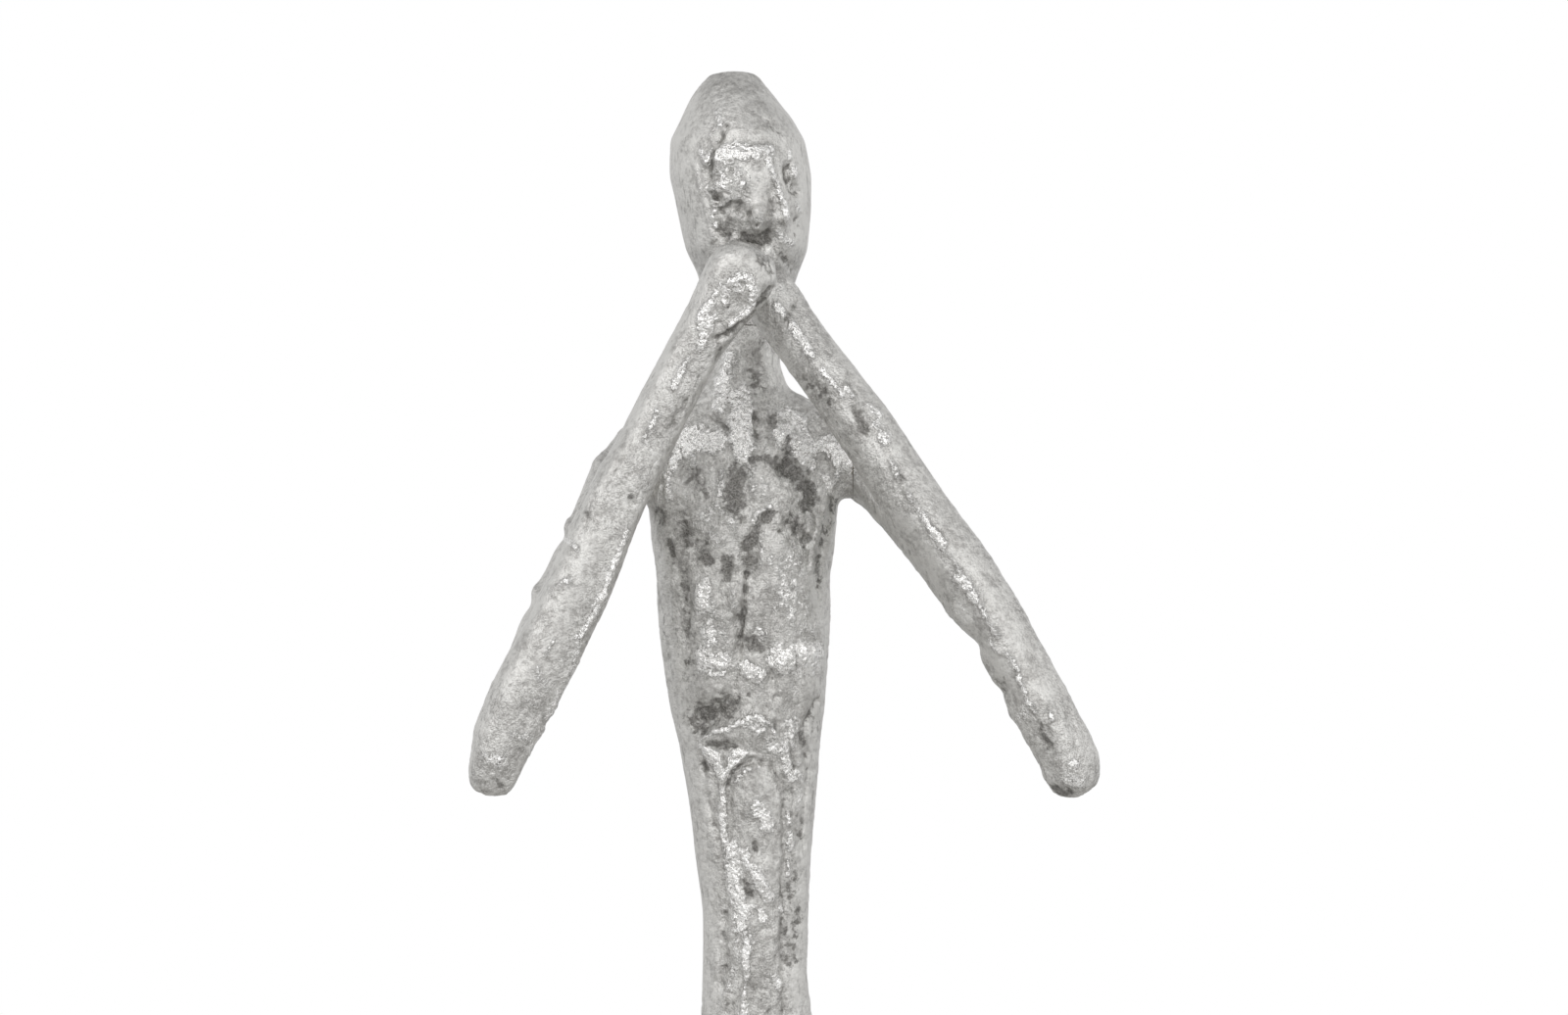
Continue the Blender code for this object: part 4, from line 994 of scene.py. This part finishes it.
def sculpt(mesh, strokeSets, calmLines, relief=1.0, knobs=()):
    count = len(mesh.vertices)
    points = np.empty(count * 3)
    normals = np.empty(count * 3)
    mesh.vertices.foreach_get("co", points)
    mesh.vertices.foreach_get("normal", normals)
    points = points.reshape(-1, 3)
    normals = normals.reshape(-1, 3)

    seed = surface["seed"]
    tall = surface["tall"]
    plane = points[:, [0, 2]] / mm
    size, reach = surface["wander"]
    warp = np.stack([fractal(points, size, seed + 60, 3), fractal(points, size, seed + 70, 3)], axis=1)
    wandering = plane + reach * warp
    size, amount = surface["uneven"]
    uneven = 1 + amount * fractal(points, size, seed + 90, 2)
    size, amount = surface["broken"]
    broken = np.clip(0.98 + amount * fractal(points, size, seed + 100, 2), 0.45, 1.2)

    calm = np.zeros(count)
    for line, width in calmLines:
        ratio = strokeGap(wandering, line) / width
        calm = np.maximum(calm, np.exp(-ratio ** 3) * (normals[:, 1] < 0.2))
    # Side-facing surfaces: flecked, less gritty and less raised, and painted lighter by the shader as a
    # painted reflection of the bright side walls
    flank = np.clip(1.7 * np.abs(normals[:, 0]) - 0.8, 0, 1)
    rough = relief * (1 - (1 - surface["flank"]) * flank) * (1 - (1 - surface["calm"]) * calm)
    height = surface["broad"][1] * fractal(points, surface["broad"][0], seed, 2, tall)
    ridges = 1 - np.abs(fractal(points, surface["ridge"][0], seed + 10, 2, tall))
    height += rough * surface["ridge"][1] * (ridges - 0.6)
    slabs = fractal(points, surface["slab"][0], seed + 80, 3, tall)
    low, high = surface["slabStep"]
    height += rough * surface["slab"][1] * (smoothStep(slabs, low, high) - smoothStep(slabs, -high, -low))
    squat = points * (1, 1, 0.7)
    crease = np.exp(-(pellets(squat, surface["pellet"][0], seed + 20) / surface["creaseWidth"]) ** 2)
    height -= rough * surface["pellet"][1] * crease
    height += rough * surface["fine"][1] * fractal(points, surface["fine"][0], seed + 30, 2)

    size, strength = surface["patches"]
    tarnishAndShade = strength * rough * (fractal(points, size, seed + 40, 3, tall) - surface["clean"][0])
    burnish = strength * rough * (fractal(points, size, seed + 50, 3, tall) - surface["clean"][1])
    for strokes, side, nearest, furthest in strokeSets:
        facing = np.clip(side * normals[:, 1] * 2.2 + 0.45, 0, 1)
        facing *= smoothStep(points[:, 1], nearest - 0.01, nearest + 0.01)
        facing *= 1 - smoothStep(points[:, 1], furthest - 0.01, furthest + 0.01)
        for line, width, rise, tone in strokes:
            ratio = strokeGap(wandering, line) / width * uneven
            height += rise * np.exp(-ratio ** 3) * facing
            amount = np.exp(-(ratio * 0.85) ** 2) * facing * broken
            # Dark tone goes into the tarnish field, which holds tarnish and, along sunken grooves and
            # hollows, painted shade; bright tone is rubbed leaf that the shader dots with painted glints
            if tone < 0:
                tarnishAndShade = np.maximum(tarnishAndShade, -tone * amount)
                burnish -= -tone * amount * 0.5
            else:
                burnish = np.maximum(burnish, tone * amount)
                tarnishAndShade -= tone * amount * 0.8
    for x, z, reach, rise in knobs:
        gap = np.linalg.norm(plane - (x, z), axis=1) / reach
        height += rise * np.exp(-gap ** 2)
    shiny = np.clip(burnish, 0, 1)
    height += shiny * surface["crinkle"][1] * fractal(points, surface["crinkle"][0], seed + 95, 2)

    moved = points + normals * (height * mm)[:, None]
    low, high = (np.array(corner) for corner in cadBox)
    moved = np.clip(moved, low, high)
    mesh.vertices.foreach_set("co", moved.ravel())
    for name, values in (("tarnishAndShade", tarnishAndShade), ("burnish", burnish), ("flank", flank), ("calm", calm)):
        layer = mesh.attributes.new(name, 'FLOAT', 'POINT')
        layer.data.foreach_set("value", values.astype(np.float32))
    mesh.update()


def cast(name, bm, fineVoxel):
    # Fuses overlapping forms into one skin: a coarse pass softens the joints, a fine one carries detail
    bmesh.ops.recalc_face_normals(bm, faces=bm.faces)
    mesh = bpy.data.meshes.new(name)
    bm.to_mesh(mesh)
    bm.free()
    item = bpy.data.objects.new(name, mesh)
    bpy.context.scene.collection.objects.link(item)
    for voxel, rounds in (skinPasses["coarse"], (fineVoxel, skinPasses["fineRounds"])):
        remesh = item.modifiers.new("remesh", 'REMESH')
        remesh.mode = 'VOXEL'
        remesh.voxel_size = voxel * mm
        smooth = item.modifiers.new("smooth", 'SMOOTH')
        smooth.factor = 0.5
        smooth.iterations = rounds
    graph = bpy.context.evaluated_depsgraph_get()
    fused = bpy.data.meshes.new_from_object(item.evaluated_get(graph))
    bpy.data.objects.remove(item)
    print(name, "cast:", len(fused.polygons), "faces")
    return fused


def cutSeam(bm, point, outward, mouth, depth, region=None):
    # Cuts flat at a seam and drops what lies outward. mouth is the matrix of the opening that holds
    # a steel plate: a rim of resin runs to it, and it is sunk by depth.
    faces = [face for face in bm.faces if region is None or region(face.calc_center_median())]
    verts = {vert for face in faces for vert in face.verts}
    edges = {edge for face in faces for edge in face.edges}
    cut = bmesh.ops.bisect_plane(bm, geom=[*verts, *edges, *faces], dist=1e-7, plane_co=point,
                                 plane_no=outward, clear_outer=True)
    rim = [item for item in cut["geom_cut"] if isinstance(item, bmesh.types.BMEdge) and item.is_boundary]
    circle = bmesh.ops.create_circle(bm, segments=64, radius=1.0, matrix=mouth)["verts"]
    corners = set(circle)
    loop = list({edge for vert in circle for edge in vert.link_edges if edge.other_vert(vert) in corners})
    made = bmesh.ops.bridge_loops(bm, edges=rim + loop)["faces"]
    walls = bmesh.ops.extrude_edge_only(bm, edges=loop)["geom"]
    sunk = [item for item in walls if isinstance(item, bmesh.types.BMVert)]
    bmesh.ops.translate(bm, verts=sunk, vec=Vector(outward) * -depth)
    floorLoop = [item for item in walls if isinstance(item, bmesh.types.BMEdge)
                 and item.verts[0] in set(sunk) and item.verts[1] in set(sunk)]
    made += [item for item in walls if isinstance(item, bmesh.types.BMFace)]
    made += bmesh.ops.contextual_create(bm, geom=floorLoop)["faces"]
    for face in made:
        face.material_index = 1
        face.smooth = False


def finishSkin(name, bm, body, node):
    bmesh.ops.recalc_face_normals(bm, faces=bm.faces)
    mesh = bpy.data.meshes.new(name)
    bm.to_mesh(mesh)
    bm.free()
    skin = bpy.data.objects.new(name, mesh)
    bpy.context.scene.collection.objects.link(skin)
    mesh.materials.append(leaf)
    mesh.materials.append(resin)
    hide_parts(node)
    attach(skin, body)
    print(name, len(mesh.polygons), "faces")
    return skin


def smoothCopy(mesh):
    bm = bmesh.new()
    bm.from_mesh(mesh)
    for face in bm.faces:
        face.smooth = True
    return bm


def ovalMouth(node, height):
    # The opening that a CAD plate fills, with a hair of clearance
    low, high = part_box(node)
    centre = (low + high) / 2
    reach = (high - low) / 2 + Vector((ovalGap, ovalGap, 0))
    return Matrix.Translation((centre.x, centre.y, height)) @ Matrix.Diagonal((reach.x, reach.y, 1, 1))


def roundMouth(node, x):
    low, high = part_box(node)
    centre = (low + high) / 2
    radius = (high.z - low.z) / 2 + mouthGap
    facing = Matrix.Rotation(math.radians(90), 4, 'Y')
    return Matrix.Translation((x, centre.y, centre.z)) @ facing @ Matrix.Diagonal((radius, radius, 1, 1))


joints = {joint["name"]: joint for joint in frame["joints"]}
hipZ = joints["torso_turn"]["pos_m"][2]
neckZ = joints["head_turn"]["pos_m"][2]
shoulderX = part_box("left_shoulder_plate")[1].x + seamGap
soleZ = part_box("lower_body_shell")[0].z
plateSink = 6 * mm
mouthGap = 0.3 * mm  # between a round mouth and its steel
ovalGap = 0.4 * mm
signs = {"right": -1, "left": 1}

# Stretches of the body, in metres, that a skin takes in or that a seam is looked for in
neckSpan = (1.57, 1.70)
armpitSpan = (1.30, 1.61)
pelvisSpan = (0.0, 1.0)
legTop = 0.79
shoulderFrom = 0.08
ankleBelow = 0.05
forearmBefore = -0.078  # y: the forearms lie further forward than this
onTorso = -0.075
webEnd = 0.01

skinPasses = {
    "coarse": (5.0, 4),  # voxel in mm, rounds of smoothing
    "fineRounds": 2,
    "body": 2.0,  # fine voxels in mm
    "lower": 2.2,
    "head": 1.4,
    "arm": 1.6,
}


def levelCut(bm, height, outward, plate):
    cutSeam(bm, (0, 0, height), (0, 0, outward), ovalMouth(plate, height), plateSink)


def between(sections, low, high):
    return [section for section in sections if low < section[2] < high]


def torsoForms(bm, low, high):
    levelForm(bm, between(bodyForms["torso"], low, high))


def headSkin():
    bm = bmesh.new()
    torsoForms(bm, *neckSpan)
    levelForm(bm, bodyForms["head"])
    mesh = cast("headSkin", bm, skinPasses["head"])
    sculpt(mesh, [(faceStrokes, -1, -1, 1), (torsoStrokes, -1, -1, 1), (backStrokes, 1, -1, 1)],
           faceCalm, 0.3)
    cutBm = smoothCopy(mesh)
    levelCut(cutBm, neckZ + seamGap, -1, "head_plate")
    finishSkin("head", cutBm, "head", "head_shell")


def torsoSkin():
    bm = bmesh.new()
    torsoForms(bm, 0.0, neckSpan[1])
    levelForm(bm, between(bodyForms["head"], 0, neckSpan[1]))
    levelForm(bm, bodyForms["pelvis"])
    for side in signs:
        legForm(bm, bodyForms, side, legTop)
        limbForm(bm, armForms[side]["upper"][:5], 0, 0)
        limbForm(bm, armForms[side]["web"], webEnd, webEnd)
    mesh = cast("torsoSkin", bm, skinPasses["body"])
    sculpt(mesh, [(torsoStrokes, -1, -1, 1), (backStrokes, 1, -1, 1)], torsoCalm)
    cutBm = smoothCopy(mesh)
    levelCut(cutBm, neckZ - seamGap, 1, "neck_lower_plate")
    levelCut(cutBm, hipZ + seamGap, -1, "hip_upper_plate")
    for side, sign in signs.items():
        x = sign * (shoulderX - seamGap)
        cutSeam(cutBm, (x, 0, 0), (sign, 0, 0), roundMouth(f"{side}_shoulder_plate", x), plateSink,
                region=lambda place, sign=sign: sign * place.x > shoulderFrom)
    finishSkin("torso", cutBm, "torso", "torso_shell")


def lowerSkin():
    bm = bmesh.new()
    torsoForms(bm, *pelvisSpan)
    levelForm(bm, bodyForms["pelvis"])
    for side in signs:
        legForm(bm, bodyForms, side)
        footForm(bm, bodyForms, side)
    mesh = cast("lowerSkin", bm, skinPasses["lower"])
    sculpt(mesh, [(torsoStrokes, -1, -1, 1), (legStrokes, -1, -1, 1), (backStrokes, 1, -1, 1)], torsoCalm)
    cutBm = smoothCopy(mesh)
    levelCut(cutBm, hipZ - seamGap, 1, "hip_lower_plate")
    for side, sign in signs.items():
        low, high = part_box(f"{side}_foot_socket")
        centre = (low + high) / 2
        radius = (high.x - low.x) / 2 + mouthGap
        mouth = Matrix.Translation((centre.x, centre.y, soleZ)) @ Matrix.Diagonal((radius, radius, 1, 1))
        cutSeam(cutBm, (0, 0, soleZ), (0, 0, -1), mouth, high.z - soleZ + 1 * mm,
                region=lambda place, sign=sign: (place.z < ankleBelow
                                                 and sign * (place.x - bodyForms["hipX"]) > 0))
    finishSkin("lowerBody", cutBm, "lower_body", "lower_body_shell")


def armSkin(side, sign):
    bm = bmesh.new()
    torsoForms(bm, *armpitSpan)
    limbForm(bm, armForms[side]["upper"], 0, armForms["elbowEnd"])
    limbForm(bm, armForms[side]["fore"], armForms["elbowEnd"], armForms["handEnd"], 32, 2.9,
             armForms[side]["turn"])
    limbForm(bm, armForms[side]["web"], webEnd, webEnd)
    mesh = cast(f"{side}ArmSkin", bm, skinPasses["arm"])
    sculpt(mesh, [(torsoStrokes, -1, onTorso, 1), (armStrokes[side], -1, -1, -0.06),
                  (backStrokes, 1, -0.03, 1)], armCalm[side], 0.5, armKnobs[side])
    cutBm = smoothCopy(mesh)
    x = sign * (shoulderX + seamGap)
    cutSeam(cutBm, (x, 0, 0), (-sign, 0, 0), roundMouth(f"{side}_arm_plate", x), plateSink,
            region=lambda place: place.y > forearmBefore)
    finishSkin(f"{side}Arm", cutBm, f"{side}_arm", f"{side}_arm_shell")


headSkin()
torsoSkin()
lowerSkin()
for side, sign in signs.items():
    armSkin(side, sign)
print("shells cast, split and closed")


# Steel, rubber and nylon pieces keep their CAD shapes
nodeFinishes = {
    "base_plate": (plateSteel, "base_steel"),
    "base_mat": (rubber, "mat_rubber"),
    "neck_bush": (nylon, "bush_nylon"),
}
for name in cadNodes:
    if name.endswith("_screw"):
        nodeFinishes[name] = (zinc, "zinc_fixings")
for name, item in cadNodes.items():
    if item.hide_render:
        continue
    material, slotName = nodeFinishes.get(name, (fittingSteel, "fitting_steel"))
    item.data.materials.clear()
    item.data.materials.append(material)


def paleFloor(radius):
    bm = bmesh.new()
    bmesh.ops.create_circle(bm, cap_ends=True, segments=96, radius=radius)
    mesh = bpy.data.meshes.new("floor")
    bm.to_mesh(mesh)
    bm.free()
    floor = bpy.data.objects.new("floor", mesh)
    bpy.context.scene.collection.objects.link(floor)
    material, tree, shader = newMaterial("paleStudioFloor")
    shader.inputs["Base Color"].default_value = linear("#D9D8D6")
    shader.inputs["Roughness"].default_value = 0.7
    mesh.materials.append(material)


studio = {
    "sides": 0.95,  # brightness of the white walls beside the figure
    "back": 0.72,
    "front": 0.88,  # the side that the camera stands on is darker
    "above": 0.60,
    "below": 0.45,
    "lamps": [  # name, place, aimed at, size, watts
        ("keyLamp", (-1.1, -2.7, 3.2), (0.0, 0.0, 1.45), 2.6, 27),
        ("fillLamp", (1.7, -2.3, 2.4), (0.0, 0.0, 1.35), 1.8, 10),
    ],
}


def studioLight(settings):
    world = bpy.data.worlds.new("lightTent")
    bpy.context.scene.world = world
    world.use_nodes = True
    tree = world.node_tree
    background = tree.nodes["Background"]
    direction = addNode(tree, "ShaderNodeTexCoord").outputs["Generated"]
    split = addNode(tree, "ShaderNodeSeparateXYZ", {}, {"Vector": direction})

    # Each wall: its axis, where it begins and ends along it, and how bright it is at both
    walls = [
        ("Y", -0.97, -0.55, settings["front"] / settings["sides"], 1.0),
        ("Y", 0.0, 0.8, settings["sides"], settings["back"]),
        ("Z", -0.35, 0.05, settings["below"], 1.0),
        ("Z", 0.20, 0.85, 1.0, settings["above"]),
    ]
    shade = None
    for axis, *span in walls:
        wall = addNode(tree, "ShaderNodeMapRange",
                       {"interpolation_type": 'SMOOTHSTEP', **dict(enumerate(span, 1))},
                       {"Value": split.outputs[axis]}).outputs["Result"]
        if shade:
            wall = addNode(tree, "ShaderNodeMath", {"operation": 'MULTIPLY'}, {0: shade, 1: wall}).outputs[0]
        shade = wall
    seen = addNode(tree, "ShaderNodeLightPath")
    strength = addNode(tree, "ShaderNodeMath", {"operation": 'MAXIMUM'},
                       {0: shade, 1: seen.outputs["Is Camera Ray"]})
    tree.links.new(strength.outputs[0], background.inputs["Strength"])
    background.inputs["Color"].default_value = (1, 1, 1, 1)
    for name, place, target, size, watts in settings["lamps"]:
        light = bpy.data.lights.new(name, 'AREA')
        light.shape = 'DISK'
        light.size = size
        light.energy = watts
        lamp = bpy.data.objects.new(name, light)
        bpy.context.scene.collection.objects.link(lamp)
        lamp.location = place
        lamp.rotation_euler = (Vector(target) - Vector(place)).to_track_quat('-Z', 'Y').to_euler()


shot = {
    "place": (0.035, -4.0, 1.455),
    "lens": 90.0,
    "sensor": 36.0,
}


def makeCamera(settings):
    lens = bpy.data.cameras.new("camera")
    lens.lens = settings["lens"]
    lens.sensor_width = settings["sensor"]
    camera = bpy.data.objects.new("camera", lens)
    bpy.context.scene.collection.objects.link(camera)
    camera.location = settings["place"]
    camera.rotation_euler = (math.radians(90), 0, 0)
    bpy.context.scene.camera = camera


paleFloor(3.0)
studioLight(studio)
makeCamera(shot)
bpy.context.scene.view_settings.view_transform = 'Standard'
print("studio ready")
